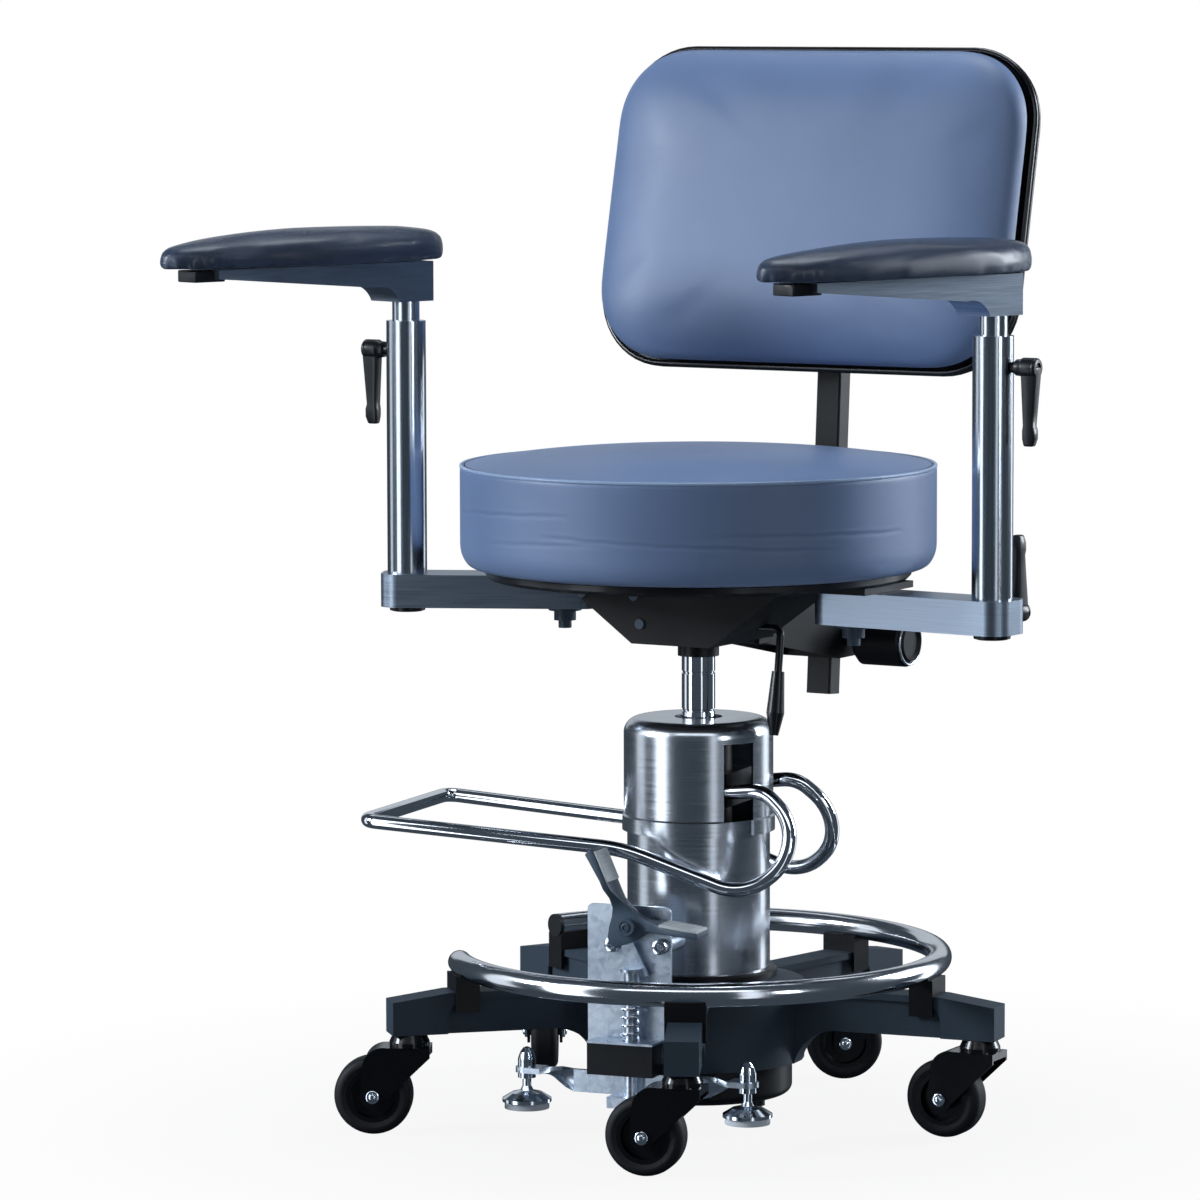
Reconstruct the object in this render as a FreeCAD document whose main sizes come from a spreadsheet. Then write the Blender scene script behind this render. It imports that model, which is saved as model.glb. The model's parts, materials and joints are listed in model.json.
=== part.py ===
import FreeCAD, Part
import math
import os
import re
import Sketcher
from FreeCAD import Placement, Rotation, Vector

# Treatment-room stool with a pump pedal, a floor lock, swinging arms and an adjustable back.
# Frame: +Z up, origin on the floor under the column; the sitter faces -Y and has +X at their left.
# The base is turned by base_heading: along its own +X lies a leg, along its -X the pump pedal and
# along its -Y the floor lock.

SIZES = {
    # base casting
    "base_heading": 9,
    "leg_count": 5,
    "stem_circle": 266,
    "leg_end": 18,
    "leg_width": 30,
    "leg_top": 127,
    "leg_nose_drop": 7,
    "leg_depth": 37,
    "leg_nose_length": 52,
    "leg_recess": 4,
    "leg_rail": 6,
    "leg_arch": 38,
    "recess_round": 18,
    "hub_radius": 95,
    "hub_land": 72,
    "hub_top": 133,
    "hub_skirt": 58,
    "hub_wall": 8,
    "boss_length": 50,
    # pump and column
    "pump_radius": 30,
    "pump_top": 345,
    "flange_radius": 70,
    "flange_thick": 7,
    "reservoir_radius": 84,
    "reservoir_bottom": 26,
    "reservoir_round": 8,
    "drain_radius": 9,
    "drain_length": 8,
    "column_radius": 64,
    "column_wall": 2.5,
    "column_top": 277,
    "cover_radius": 67,
    "cover_lip": 1.5,
    "cover_bottom": 264,
    "cover_top": 365,
    "cover_wall": 2.8,
    "cover_round": 14,
    "cover_hole": 21.5,
    "slot_width": 31,
    "slot_top": 347,
    "slot_angle": 36,
    # foot ring
    "ring_radius": 216.6,
    "ring_tube": 10.5,
    "ring_wall": 1.8,
    "ring_rise": 22,
    "ring_sweep": 296,
    "ring_plug": 4,
    "saddle_length": 22,
    "saddle_wall": 3,
    "saddle_drop": 18,
    # pump pedal
    "pedal_rod": 6.5,
    "pedal_pivot_along": 28,
    "pedal_pivot_height": 303,
    "pedal_pin": 5,
    "pedal_hub_radius": 11,
    "pedal_hub_length": 16,
    "pedal_reach": 286,
    "pedal_half_width": 95,
    "pedal_corner": 12,
    "pedal_loop_upper": 29,
    "pedal_loop_outer": 43,
    "pedal_loop_lower": 47,
    "pedal_sweep": 150,
    # floor lock
    "lock_plate_width": 79,
    "lock_plate_height": 140,
    "lock_plate_bottom": 67,
    "lock_plate_thick": 3,
    "lock_plate_round": 5,
    "lock_offset": 98,
    "lock_centre": -27,
    "lock_screw": 3.5,
    "lock_screw_height": 172,
    "lock_screw_spacing": 45,
    "spacer_radius": 8,
    "guide_width": 62,
    "guide_depth": 24,
    "guide_bottom": 58,
    "guide_height": 28,
    "guide_shelf": 2,
    "plunger_radius": 6,
    "plunger_along": -21,
    "plunger_offset": 113,
    "plunger_bottom": 38,
    "plunger_collar": 9.5,
    "plunger_top": 153,
    "plunger_ear": 10,
    "yoke_width": 40,
    "yoke_height": 10,
    "spring_radius": 7.7,
    "spring_wire": 1.4,
    "spring_turns": 7,
    "link_width": 12,
    "link_length": 40,
    "rocker_height": 191,
    "rocker_hub": 13,
    "rocker_thick": 9,
    "rocker_arm": 60,
    "rocker_lean": 19,
    "rocker_tread": 44,
    "rocker_tread_wide": 25,
    "tread_thick": 9,
    "bar_depth": 20,
    "bar_thick": 5,
    "bar_middle": 48,
    "eye_height": 55,
    "eye_left": -124,
    "eye_right": 86,
    "foot_disc": 22,
    "foot_pad": 20,
    "foot_pad_thick": 6,
    "foot_clearance": 20,
    "stud_radius": 4,
    "nut_radius": 8,
    # casters
    "wheel_radius": 35,
    "wheel_width": 25,
    "wheel_trail": 32,
    "tyre_depth": 11,
    "tyre_round": 7,
    "hub_recess": 6,
    "hub_recess_radius": 19,
    "axle_radius": 4,
    "fork_wall": 2.5,
    "fork_gap": 1.5,
    "fork_lobe": 11,
    "fork_top": 79,
    "crown_radius": 19,
    "raceway_radius": 18,
    "stem_radius": 5.5,
    "stem_length": 24,
    "trail_heading_a": 208,
    "trail_heading_b": 196,
    "trail_heading_c": 184,
    "trail_heading_d": 120,
    "trail_heading_e": 214,
    # ram and seat
    "ram_radius": 15,
    "ram_bottom": 160,
    "ram_top": 470,
    "ram_groove": 0.8,
    "collar_radius": 18.5,
    "collar_bottom": 420,
    "frame_bottom": 433,
    "frame_top": 485,
    "frame_half_bottom": 40,
    "frame_half_top": 112,
    "frame_front": 50,
    "frame_back": 60,
    "frame_wall": 3,
    "pin_outer": 91,
    "pin_inner": 37,
    "pin_drop": 9,
    "pin_radius": 4.5,
    "pin_proud": 2,
    "plate_half": 185,
    "plate_front": 30,
    "plate_thick": 6,
    "board_radius": 190,
    "board_thick": 8,
    "seat_radius": 215,
    "seat_bulge": 4,
    "seat_height": 600,
    "seat_seam": 591,
    "seat_round": 9,
    # hanging lever
    "lever_rod": 3.5,
    "lever_side": 79,
    "lever_forward": 10,
    "lever_height": 447,
    "lever_length": 95,
    "lever_grip": 8,
    "lever_grip_length": 57,
    "lever_lean": 8,
    # back
    "tilt_pivot_back": 74,
    "tilt_pivot_height": 438,
    "tilt_pin": 6,
    "tilt_lobe": 13,
    "ear_wall": 5,
    "arm_half": 29,
    "arm_wall": 4,
    "clamp_back": 250,
    "clamp_length": 44,
    "clamp_height": 56,
    "clamp_bottom": 398,
    "post_width": 25,
    "post_depth": 20,
    "post_lean_height": 640,
    "post_lean": 4,
    "post_bottom": 362,
    "post_length": 448,
    "knob_radius": 23,
    "knob_length": 53,
    "knob_stem": 6,
    "knob_height": 404,
    "back_width": 432,
    "back_tall": 300,
    "back_round": 70,
    "back_cushion": 42,
    "back_shell": 13,
    "back_recline": 13,
    "back_softness": 18,
    "back_bracket_wide": 50,
    "back_bracket_deep": 40,
    "back_bracket_tall": 110,
    "back_front": 178,
    "back_centre": 820,
    # arms
    "arm_bolt_side": 149,
    "arm_bolt_back": 16,
    "arm_bolt": 6,
    "swing_left": 205.4,
    "swing_right": -4.9,
    "bar_width": 50,
    "bar_height": 30,
    "bar_inner": 32,
    "bar_length": 144,
    "bar_round": 16,
    "tube_radius": 18,
    "tube_wall": 2,
    "tube_top": 714,
    "bush_length": 25,
    "rod_radius": 12.5,
    "rod_bottom": 560,
    "bracket_bottom": 732,
    "bracket_top": 768,
    "bracket_half": 20,
    "bracket_back": 16,
    "bracket_front": 24,
    "bracket_reach": 231,
    "bracket_tip": 8,
    "bracket_root": 22,
    "bracket_cove": 24,
    "rest_heading": 253,
    "pad_length": 305,
    "pad_width": 100,
    "pad_thick": 34,
    "pad_back": 43,
    "pad_shoulder": 37,
    "pad_taper": 12,
    "pad_bow": 562,
    "pad_nose": 38,
    "clamp_hub": 9,
    "clamp_reach": 26,
    "clamp_handle": 68,
    "clamp_wide": 15,
    "clamp_waist": 9,
    "clamp_thick": 11,
    "upper_clamp": 687,
    # fits
    "running_gap": 0.05,
    "free_gap": 0.3,
}

doc = FreeCAD.newDocument("Stool")
sheet = doc.addObject("Spreadsheet::Sheet", "Sizes")
for row, (name, value) in enumerate(SIZES.items(), start=1):
    sheet.set("A%d" % row, name)
    sheet.set("B%d" % row, str(value))
    sheet.setAlias("B%d" % row, name)
doc.recompute()

# ---------------------------------------------------------------- helpers


def bound(formula):
    """Turns 'leg_top - leg_depth' into an expression on the sheet."""
    return re.sub(r"[a-z][a-z_]*", lambda word: "Sizes." + word[0] if word[0] in SIZES else word[0], str(formula))


def value(formula):
    """The number that a formula on the sheet gives now."""
    result = sheet.evalExpression(bound(formula))
    return float(getattr(result, "Value", result))


def bind(item, **formulas):
    for prop, formula in formulas.items():
        item.setExpression(prop, bound(formula))
    return item


def place(item, x=0, y=0, z=0, turn=Rotation()):
    """Puts an object where three formulas say, with a turn."""
    item.Placement = Placement(Vector(value(x), value(y), value(z)), turn)
    for axis, formula in zip("xyz", (x, y, z)):
        item.setExpression("Placement.Base." + axis, bound(formula))
    return item


def about_z(degrees):
    return Rotation(Vector(0, 0, 1), value(degrees))


def towards(x, y, z):
    """The turn that lays an object's own Z along a direction."""
    return Rotation(Vector(0, 0, 1), Vector(x, y, z))


def named(item, label):
    item.Label = label
    return item


def cylinder(radius, height, x=0, y=0, z=0, turn=Rotation()):
    item = doc.addObject("Part::Cylinder", "Cylinder")
    return place(bind(item, Radius=radius, Height=height), x, y, z, turn)


def box(long, wide, tall, x=0, y=0, z=0):
    """A box centred in plan on x, y and standing on z."""
    item = doc.addObject("Part::Box", "Box")
    bind(item, Length=long, Width=wide, Height=tall)
    return place(item, "%s - (%s) / 2" % (x, long), "%s - (%s) / 2" % (y, wide), z)


def block(long, wide, tall, frame, x=0, y=0, z=0):
    """A box in a frame of its own, from the corner x, y, z there."""
    item = doc.addObject("Part::Box", "Block")
    bind(item, Length=long, Width=wide, Height=tall)
    item.Placement = frame.multiply(Placement(Vector(value(x), value(y), value(z)), Rotation()))
    return item


def disc(radius, height, at, axis=Vector(0, 0, 1)):
    """A cylinder from a worked-out point along a direction."""
    item = doc.addObject("Part::Cylinder", "Disc")
    bind(item, Radius=radius, Height=height)
    item.Placement = Placement(at, Rotation(Vector(0, 0, 1), axis))
    return item


def torus(ring, tube, sweep=360, z=0, turn=Rotation()):
    item = doc.addObject("Part::Torus", "Torus")
    return place(bind(item, Radius1=ring, Radius2=tube, Angle3=sweep), z=z, turn=turn)


def fuse(*items):
    item = doc.addObject("Part::MultiFuse", "Fusion")
    item.Shapes = list(items)
    return item


def cut(base, *tools):
    item = doc.addObject("Part::Cut", "Cut")
    item.Base = base
    item.Tool = tools[0] if len(tools) == 1 else fuse(*tools)
    return item


def group(label, items):
    """Separate solids that share one sub-part."""
    item = doc.addObject("Part::Compound", label)
    item.Links = list(items)
    return named(item, label)


def free_form(label, shape):
    item = doc.addObject("Part::Feature", label)
    item.Shape = shape
    return named(item, label)


def new_body(label):
    return named(doc.addObject("PartDesign::Body", label), label)


def origin_item(body, role):
    return next(item for item in body.Origin.OriginFeatures if item.Role == role)


def arc_centre(start, end, radius, side):
    """Centre of the arc from start to end; side is 1 when it runs anticlockwise."""
    middle = (start + end) * 0.5
    chord = end - start
    rise = math.sqrt(max(radius ** 2 - (chord.Length / 2) ** 2, 0))
    normal = Vector(-chord.y, chord.x, 0).normalize()
    return middle + normal * rise * side


def outline(body, role, points, offset=0):
    """A closed sketch. Each point is (x, y) for a line to it or (x, y, radius, side) for an arc."""
    sketch = body.newObject("Sketcher::SketchObject", "Outline")
    sketch.AttachmentSupport = [(origin_item(body, role), "")]
    sketch.MapMode = "FlatFace"
    sketch.AttachmentOffset = Placement(Vector(0, 0, value(offset)), Rotation())
    spots = [Vector(value(point[0]), value(point[1]), 0) for point in points]
    ends = []
    for index, point in enumerate(points):
        start = spots[index - 1]
        end = spots[index]
        if len(point) == 2:
            edge = sketch.addGeometry(Part.LineSegment(start, end), False)
            ends.append((edge, 1, 2))
            continue
        radius = value(point[2])
        centre = arc_centre(start, end, radius, point[3])
        first, last = (start, end) if point[3] > 0 else (end, start)
        circle = Part.Circle(centre, Vector(0, 0, 1), radius)
        angles = [math.atan2(spot.y - centre.y, spot.x - centre.x) for spot in (first, last)]
        edge = sketch.addGeometry(Part.ArcOfCircle(circle, angles[0], angles[1]), False)
        ends.append((edge, 1, 2) if point[3] > 0 else (edge, 2, 1))
    for index, point in enumerate(points):
        edge, start_end, finish = ends[index]
        following = ends[(index + 1) % len(points)]
        sketch.addConstraint(Sketcher.Constraint("Coincident", edge, finish, following[0], following[1]))
        for kind, formula in zip(("DistanceX", "DistanceY"), point):
            rule = sketch.addConstraint(Sketcher.Constraint(kind, -1, 1, edge, finish, value(formula)))
            sketch.setExpression("Constraints[%d]" % rule, bound(formula))
        if len(point) == 4:
            rule = sketch.addConstraint(Sketcher.Constraint("Radius", edge, value(point[2])))
            sketch.setExpression("Constraints[%d]" % rule, bound(point[2]))
    return sketch


def revolve(body, points, cutting=False):
    """Adds or removes a form turned about the body's Z; points are radius and height."""
    sketch = outline(body, "XZ_Plane", points)
    kind = "Groove" if cutting else "Revolution"
    feature = body.newObject("PartDesign::" + kind, kind)
    feature.Profile = sketch
    feature.ReferenceAxis = (sketch, ["V_Axis"])
    feature.Angle = 360
    body.Tip = feature
    return feature


def extrude(body, role, points, length, centred=True, cutting=False, offset=0, backwards=False):
    sketch = outline(body, role, points, offset)
    kind = "Pocket" if cutting else "Pad"
    feature = body.newObject("PartDesign::" + kind, kind)
    feature.Profile = sketch
    bind(feature, Length=length)
    feature.Midplane = centred
    feature.Reversed = backwards
    body.Tip = feature
    return feature


def turned(label, points):
    body = new_body(label)
    revolve(body, points)
    return body


def soften(body, radius, chosen):
    """Rounds the edges that are chosen by their middle."""
    doc.recompute()
    base = body.Tip
    edges = ["Edge%d" % (index + 1) for index, edge in enumerate(base.Shape.Edges) if chosen(edge.BoundBox.Center)]
    feature = body.newObject("PartDesign::Fillet", "Softened")
    feature.Base = (base, edges)
    bind(feature, Radius=radius)
    body.Tip = feature


def rectangle(low_x, low_y, high_x, high_y):
    return [(low_x, low_y), (high_x, low_y), (high_x, high_y), (low_x, high_y)]


def rounded(low_x, low_y, high_x, high_y, radius):
    """A rectangle with four rounded corners, anticlockwise."""
    left = "%s + (%s)" % (low_x, radius)
    right = "%s - (%s)" % (high_x, radius)
    lower = "%s + (%s)" % (low_y, radius)
    upper = "%s - (%s)" % (high_y, radius)
    return [
        (left, low_y, radius, 1),
        (right, low_y),
        (high_x, lower, radius, 1),
        (high_x, upper),
        (right, high_y, radius, 1),
        (left, high_y),
        (low_x, upper, radius, 1),
        (low_x, lower),
    ]


def pattern(body, features, count):
    """Repeats features round the body's Z."""
    feature = body.newObject("PartDesign::PolarPattern", "Pattern")
    feature.Originals = features
    feature.Axis = (origin_item(body, "Z_Axis"), [""])
    feature.Angle = 360
    bind(feature, Occurrences=count)
    body.Tip = feature
    return feature


def bent_rod(corners, radius):
    """A round rod along straight runs joined by tangent arcs. Each corner is (point, named bend radius)."""
    points = [point for point, bend in corners]
    edges = []
    start = points[0]
    for before, (corner, named_bend), after in zip(points, corners[1:], points[2:]):
        bend = value(named_bend)
        arriving = (corner - before).normalize()
        leaving = (after - corner).normalize()
        turn = arriving.getAngle(leaving)
        setback = bend * math.tan(turn / 2)
        first = corner - arriving * setback
        last = corner + leaving * setback
        inward = (leaving - arriving).normalize()
        middle = corner + inward * (bend / math.cos(turn / 2) - bend)
        edges.append(Part.LineSegment(start, first).toShape())
        edges.append(Part.Arc(first, middle, last).toShape())
        start = last
    edges.append(Part.LineSegment(start, points[-1]).toShape())
    section = Part.Wire(Part.makeCircle(radius, points[0], points[1] - points[0]))
    return Part.Wire(edges).makePipeShell([section], True, False)


# ---------------------------------------------------------------- base


def base_casting():
    body = new_body("base_casting")
    under = "leg_top - leg_depth"
    bore = "pump_radius + free_gap"
    reach = "stem_circle + leg_end"
    nose = "stem_circle + leg_end - leg_nose_length"
    revolve(body, [
        (bore, "hub_top"),
        (bore, "hub_top - hub_wall - 4"),
        ("hub_radius - hub_wall", "hub_top - hub_wall - 4"),
        ("hub_radius - hub_wall", "hub_skirt"),
        ("hub_radius", "hub_skirt"),
        ("hub_radius", "leg_top"),
        ("hub_land", "hub_top"),
    ])
    start = "hub_radius - 3"
    web = extrude(body, "XZ_Plane", [
        (start, "leg_top"),
        (start, "leg_top - leg_depth - leg_arch + 6"),
        ("hub_radius", "leg_top - leg_depth - leg_arch + 6"),
        ("hub_radius + leg_arch", under, "leg_arch + 4", -1),
        (reach, under),
        (reach, "leg_top - leg_nose_drop"),
        (nose, "leg_top"),
    ], "leg_width - 2 * leg_recess")
    rail = "leg_top - leg_rail"
    boss = "stem_circle + leg_end - boss_length"
    full = extrude(body, "XZ_Plane", [
        (start, "leg_top"),
        (start, rail),
        ("%s - recess_round" % boss, rail),
        (boss, "%s - recess_round" % rail, "recess_round", -1),
        (boss, under),
        (reach, under),
        (reach, "leg_top - leg_nose_drop"),
        (nose, "leg_top"),
    ], "leg_width")
    hole = body.newObject("Sketcher::SketchObject", "StemHole")
    hole.AttachmentSupport = [(origin_item(body, "XY_Plane"), "")]
    hole.MapMode = "FlatFace"
    hole.AttachmentOffset = Placement(Vector(0, 0, value(under)), Rotation())
    circle = Part.Circle(Vector(value("stem_circle"), 0, 0), Vector(0, 0, 1), value("stem_radius"))
    hole.addGeometry(circle, False)
    rule = hole.addConstraint(Sketcher.Constraint("DistanceX", -1, 1, 0, 3, value("stem_circle")))
    hole.setExpression("Constraints[%d]" % rule, bound("stem_circle"))
    hole.addConstraint(Sketcher.Constraint("PointOnObject", 0, 3, -1))
    rule = hole.addConstraint(Sketcher.Constraint("Radius", 0, value("stem_radius + running_gap")))
    hole.setExpression("Constraints[%d]" % rule, bound("stem_radius + running_gap"))
    bore_cut = body.newObject("PartDesign::Pocket", "Pocket")
    bore_cut.Profile = hole
    bind(bore_cut, Length="stem_length + 1")
    bore_cut.Reversed = True
    body.Tip = bore_cut
    pattern(body, [web, full, bore_cut], "leg_count")
    return place(body, turn=about_z("base_heading"))


def pump_cylinder():
    flange_top = "hub_top + flange_thick"
    barrel = turned("pump_barrel", [
        ("ram_radius + running_gap", "ram_bottom - 45"),
        ("ram_radius + running_gap", "pump_top"),
        ("pump_radius - 3", "pump_top"),
        ("pump_radius", "pump_top - 3"),
        ("pump_radius", flange_top),
        ("flange_radius - 2", flange_top),
        ("flange_radius", "%s - 2" % flange_top),
        ("flange_radius", "hub_top"),
        ("pump_radius", "hub_top"),
        ("pump_radius", "hub_top - hub_wall - 4"),
        (0, "hub_top - hub_wall - 4"),
        (0, "ram_bottom - 45"),
    ])
    tall = "2 * pedal_hub_radius + 8"
    lug = box("pedal_pivot_along + pedal_hub_radius", "2 * pump_radius + 4", tall,
              x="(pedal_pivot_along + pedal_hub_radius) / 2", z="pedal_pivot_height - %s / 2" % ("(" + tall + ")"))
    bore = cylinder("ram_radius + running_gap", "pump_top", z="ram_bottom - 45")
    pin = cylinder("pedal_pin + running_gap", "4 * pump_radius", x="pedal_pivot_along", y="2 * pump_radius",
                   z="pedal_pivot_height", turn=towards(0, -1, 0))
    whole = cut(fuse(barrel, lug), bore, pin)
    return named(place(whole, turn=about_z("base_heading")), "pump_cylinder")


def pump_reservoir():
    top = "hub_top - hub_wall - 4"
    return turned("pump_reservoir", [
        (0, "reservoir_bottom"),
        ("reservoir_radius - reservoir_round", "reservoir_bottom"),
        ("reservoir_radius", "reservoir_bottom + reservoir_round", "reservoir_round", 1),
        ("reservoir_radius", top),
        (0, top),
    ])


def drain_plug():
    plug = cylinder("drain_radius", "drain_length", x="reservoir_radius - 26", z="reservoir_bottom - drain_length")
    return named(fuse(plug, cylinder("drain_radius - 3", 3, x="reservoir_radius - 26",
                                     z="reservoir_bottom - drain_length - 2.5")), "drain_plug")


def column_tube():
    bottom = "hub_top + flange_thick"
    return turned("column_tube", [
        ("column_radius - column_wall", bottom),
        ("column_radius", bottom),
        ("column_radius", "column_top"),
        ("column_radius - column_wall", "column_top"),
    ])


def column_cover():
    body = new_body("cover_shell")
    inner = "cover_radius - cover_wall"
    lip_top = "column_top"
    revolve(body, [
        (inner, "cover_bottom"),
        ("cover_radius + cover_lip", "cover_bottom"),
        ("cover_radius + cover_lip", lip_top),
        ("cover_radius", "%s + cover_lip" % lip_top),
        ("cover_radius", "cover_top - cover_round"),
        ("cover_radius - cover_round", "cover_top", "cover_round", 1),
        ("cover_hole", "cover_top"),
        ("cover_hole", "cover_top - cover_wall"),
        ("cover_radius - cover_round", "cover_top - cover_wall"),
        (inner, "cover_top - cover_round", "cover_round - cover_wall", -1),
    ])
    doc.recompute()
    slots = []
    for side in (-1, 1):
        heading = Placement(Vector(), about_z("slot_angle * %d" % side))
        slots.append(block("cover_radius", "slot_width", "slot_top - cover_bottom + 1", heading,
                           "cover_radius / 2", "-slot_width / 2", "cover_bottom - 1"))
    whole = cut(body, *slots)
    return named(place(whole, turn=about_z("base_heading")), "column_cover")


def foot_ring():
    start = about_z("180 + base_heading + (360 - ring_sweep) / 2")
    rise = "leg_top + ring_rise"
    outer = torus("ring_radius", "ring_tube", "ring_sweep", z=rise, turn=start)
    inner = torus("ring_radius", "ring_tube - ring_wall", "ring_sweep", z=rise, turn=start)
    return named(cut(outer, inner), "foot_ring")


def ring_end_caps():
    caps = []
    for side in (-1, 1):
        heading = value("180 + base_heading + %d * (360 - ring_sweep) / 2" % side)
        spot = Placement(Vector(), Rotation(Vector(0, 0, 1), heading))
        at = spot.multVec(Vector(value("ring_radius"), 0, value("leg_top + ring_rise")))
        out = spot.multVec(Vector(0, -side, 0))
        caps.append(disc("ring_tube", "ring_plug", at, out))
    return group("ring_end_caps", caps)


def ring_saddles():
    saddles = []
    for leg in range(int(value("leg_count"))):
        bottom = "leg_top - saddle_drop"
        block = box("saddle_length", "leg_width + 2 * saddle_wall", "saddle_drop + ring_rise - ring_tube + 3",
                    x="ring_radius", z=bottom)
        leg_gap = box("saddle_length + 2", "leg_width", "saddle_drop", x="ring_radius", z=bottom)
        ring = torus("ring_radius", "ring_tube", z="leg_top + ring_rise")
        saddle = cut(block, leg_gap, ring)
        saddles.append(place(saddle, turn=about_z("base_heading + %d * 360 / leg_count" % leg)))
    return group("ring_saddles", saddles)


# ---------------------------------------------------------------- pump pedal


PEDAL_ARM = "pump_radius + 2 + free_gap + pedal_hub_length / 2"


def pedal_point(along, across, height):
    return Vector(value(along), -value(across), value(height))


def pump_lever():
    half = [
        (pedal_point("pedal_pivot_along + 8", PEDAL_ARM, "pedal_pivot_height"), None),
        (pedal_point("pedal_pivot_along + 50", "%s + 3" % PEDAL_ARM, "pedal_pivot_height + 4"), "pedal_loop_upper"),
        (pedal_point("pedal_pivot_along + 102", "pedal_half_width - 40", "pedal_pivot_height - 40"), "pedal_loop_outer"),
        (pedal_point("pedal_pivot_along + 42", "pedal_half_width - 22", "pedal_pivot_height - 87"), "pedal_loop_lower"),
        (pedal_point("pedal_pivot_along - 69", "pedal_half_width - 13", "pedal_pivot_height - 49"), "pedal_sweep"),
        (pedal_point("-pedal_reach", "pedal_half_width", "pedal_pivot_height - 34"), "pedal_corner"),
    ]
    other = [(Vector(point.x, -point.y, point.z), bend) for point, bend in reversed(half)]
    return free_form("pump_lever", bent_rod(half + other, value("pedal_rod")))


def pump_lever_hub(loop):
    across = value(PEDAL_ARM)
    turn = towards(0, -1, 0)
    pin = cylinder("pedal_pin", 2 * across + 4, x="pedal_pivot_along", y=across + 2, z="pedal_pivot_height", turn=turn)
    arms = []
    for side in (-1, 1):
        arms.append(cylinder("pedal_hub_radius", "pedal_hub_length", x="pedal_pivot_along",
                             y="%d * %g + pedal_hub_length / 2" % (side, across), z="pedal_pivot_height", turn=turn))
    return named(cut(fuse(pin, *arms), free_form("lever_sockets", loop)), "pump_lever_hub")


# ---------------------------------------------------------------- floor lock


def lock_plate():
    body = new_body("lock_sheet")
    left = "lock_centre - lock_plate_width / 2"
    right = "lock_centre + lock_plate_width / 2"
    top = "lock_plate_bottom + lock_plate_height"
    extrude(body, "XZ_Plane", rounded(left, "lock_plate_bottom", right, top, "lock_plate_round"),
            "lock_plate_thick", centred=False, offset="lock_offset")
    front = "lock_offset + lock_plate_thick"
    shelf = box("guide_width", "guide_depth", "guide_shelf", x="lock_centre", y="-(%s + guide_depth / 2)" % front,
                z="guide_bottom + guide_height")
    hole = cylinder("plunger_radius + 1", 4, x="plunger_along", y="-plunger_offset", z="guide_bottom + guide_height - 1")
    pieces = [body, cut(shelf, hole)]
    column = cylinder("column_radius + 0.1", "cover_bottom")
    turn = towards(0, -1, 0)
    for side in (-1, 1):
        spot = {"x": "lock_centre + 8 + %d * lock_screw_spacing / 2" % side, "z": "lock_screw_height", "turn": turn}
        spacer = cylinder("spacer_radius", "lock_offset", y=0, **spot)
        pieces.append(cut(spacer, column))
        pieces.append(cylinder("2 * lock_screw", "lock_screw", y="-(%s)" % front, **spot))
    stud = {"x": "plunger_along", "z": "rocker_height", "turn": turn}
    pieces.append(cylinder("lock_screw + 1", "rocker_thick + 10", y="-(%s)" % front, **stud))
    pieces.append(cylinder("lock_screw + 4", 4, y="-(%s + rocker_thick + 10)" % front, **stud))
    return named(place(fuse(*pieces), turn=about_z("base_heading")), "lock_plate")


def lock_guide_block():
    front = "lock_offset + lock_plate_thick"
    block = box("guide_width", "guide_depth", "guide_height", x="lock_centre", y="-(%s + guide_depth / 2)" % front,
                z="guide_bottom")
    bore = cylinder("plunger_radius + running_gap", "guide_height + 2", x="plunger_along", y="-plunger_offset",
                    z="guide_bottom - 1")
    return named(place(cut(block, bore), turn=about_z("base_heading")), "lock_guide_block")


def lock_rocker():
    middle = "lock_offset + lock_plate_thick + 7 + rocker_thick / 2"
    turn = towards(0, -1, 0)
    back = "-(%s - rocker_thick / 2)" % middle
    hub = cylinder("rocker_hub", "rocker_thick", y=back, turn=turn)
    parts = [hub]
    for lean, wide in ((90 - value("rocker_lean") * -1, "rocker_tread_wide"), (0, "rocker_tread")):
        at = Placement(Vector(0, -value(middle), 0), Rotation(Vector(0, -1, 0), lean))
        parts.append(block("rocker_arm", "rocker_thick", "2 * rocker_hub - 8", at, 0, "-rocker_thick / 2",
                           "4 - rocker_hub"))
        parts.append(block("rocker_tread", wide, "tread_thick", at, "rocker_arm - rocker_tread + 14",
                           "9 - (%s)" % wide, "6 - tread_thick / 2"))
    lug = cylinder("rocker_hub - 4", "rocker_thick", x=-10, y=back, z=-10, turn=turn)
    bore = cylinder("lock_screw + 1 + running_gap", 200, y=0, turn=turn)
    whole = cut(fuse(lug, *parts), bore)
    heading = about_z("base_heading")
    at = heading.multVec(Vector(value("plunger_along"), 0, value("rocker_height")))
    whole.Placement = Placement(at, heading)
    return named(whole, "lock_rocker")


def lock_plunger():
    spot = {"x": "plunger_along", "y": "-plunger_offset"}
    rod = cylinder("plunger_radius", "plunger_top - plunger_bottom", z="plunger_bottom", **spot)
    collar = cylinder("plunger_collar", 3, z="plunger_top - 3", **spot)
    yoke = box("yoke_width", "2 * plunger_radius + 4", "yoke_height", z="plunger_bottom - yoke_height", **spot)
    foot = Vector(value("plunger_along + 9"), -value("lock_offset + lock_plate_thick + 6.85"), value("plunger_top - 9"))
    slant = Placement(foot, Rotation(Vector(0, -1, 0), 26))
    link = block("link_width", "lock_plate_thick", "link_length", slant, "-link_width / 2")
    ear = box("bar_thick * 3", "plunger_offset - lock_offset - lock_plate_thick - 2", "plunger_ear", x="plunger_along",
              y="-(plunger_offset + lock_offset + lock_plate_thick + 2) / 2", z="plunger_top - plunger_ear")
    return named(place(fuse(rod, collar, yoke, link, ear), turn=about_z("base_heading")), "lock_plunger")


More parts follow.
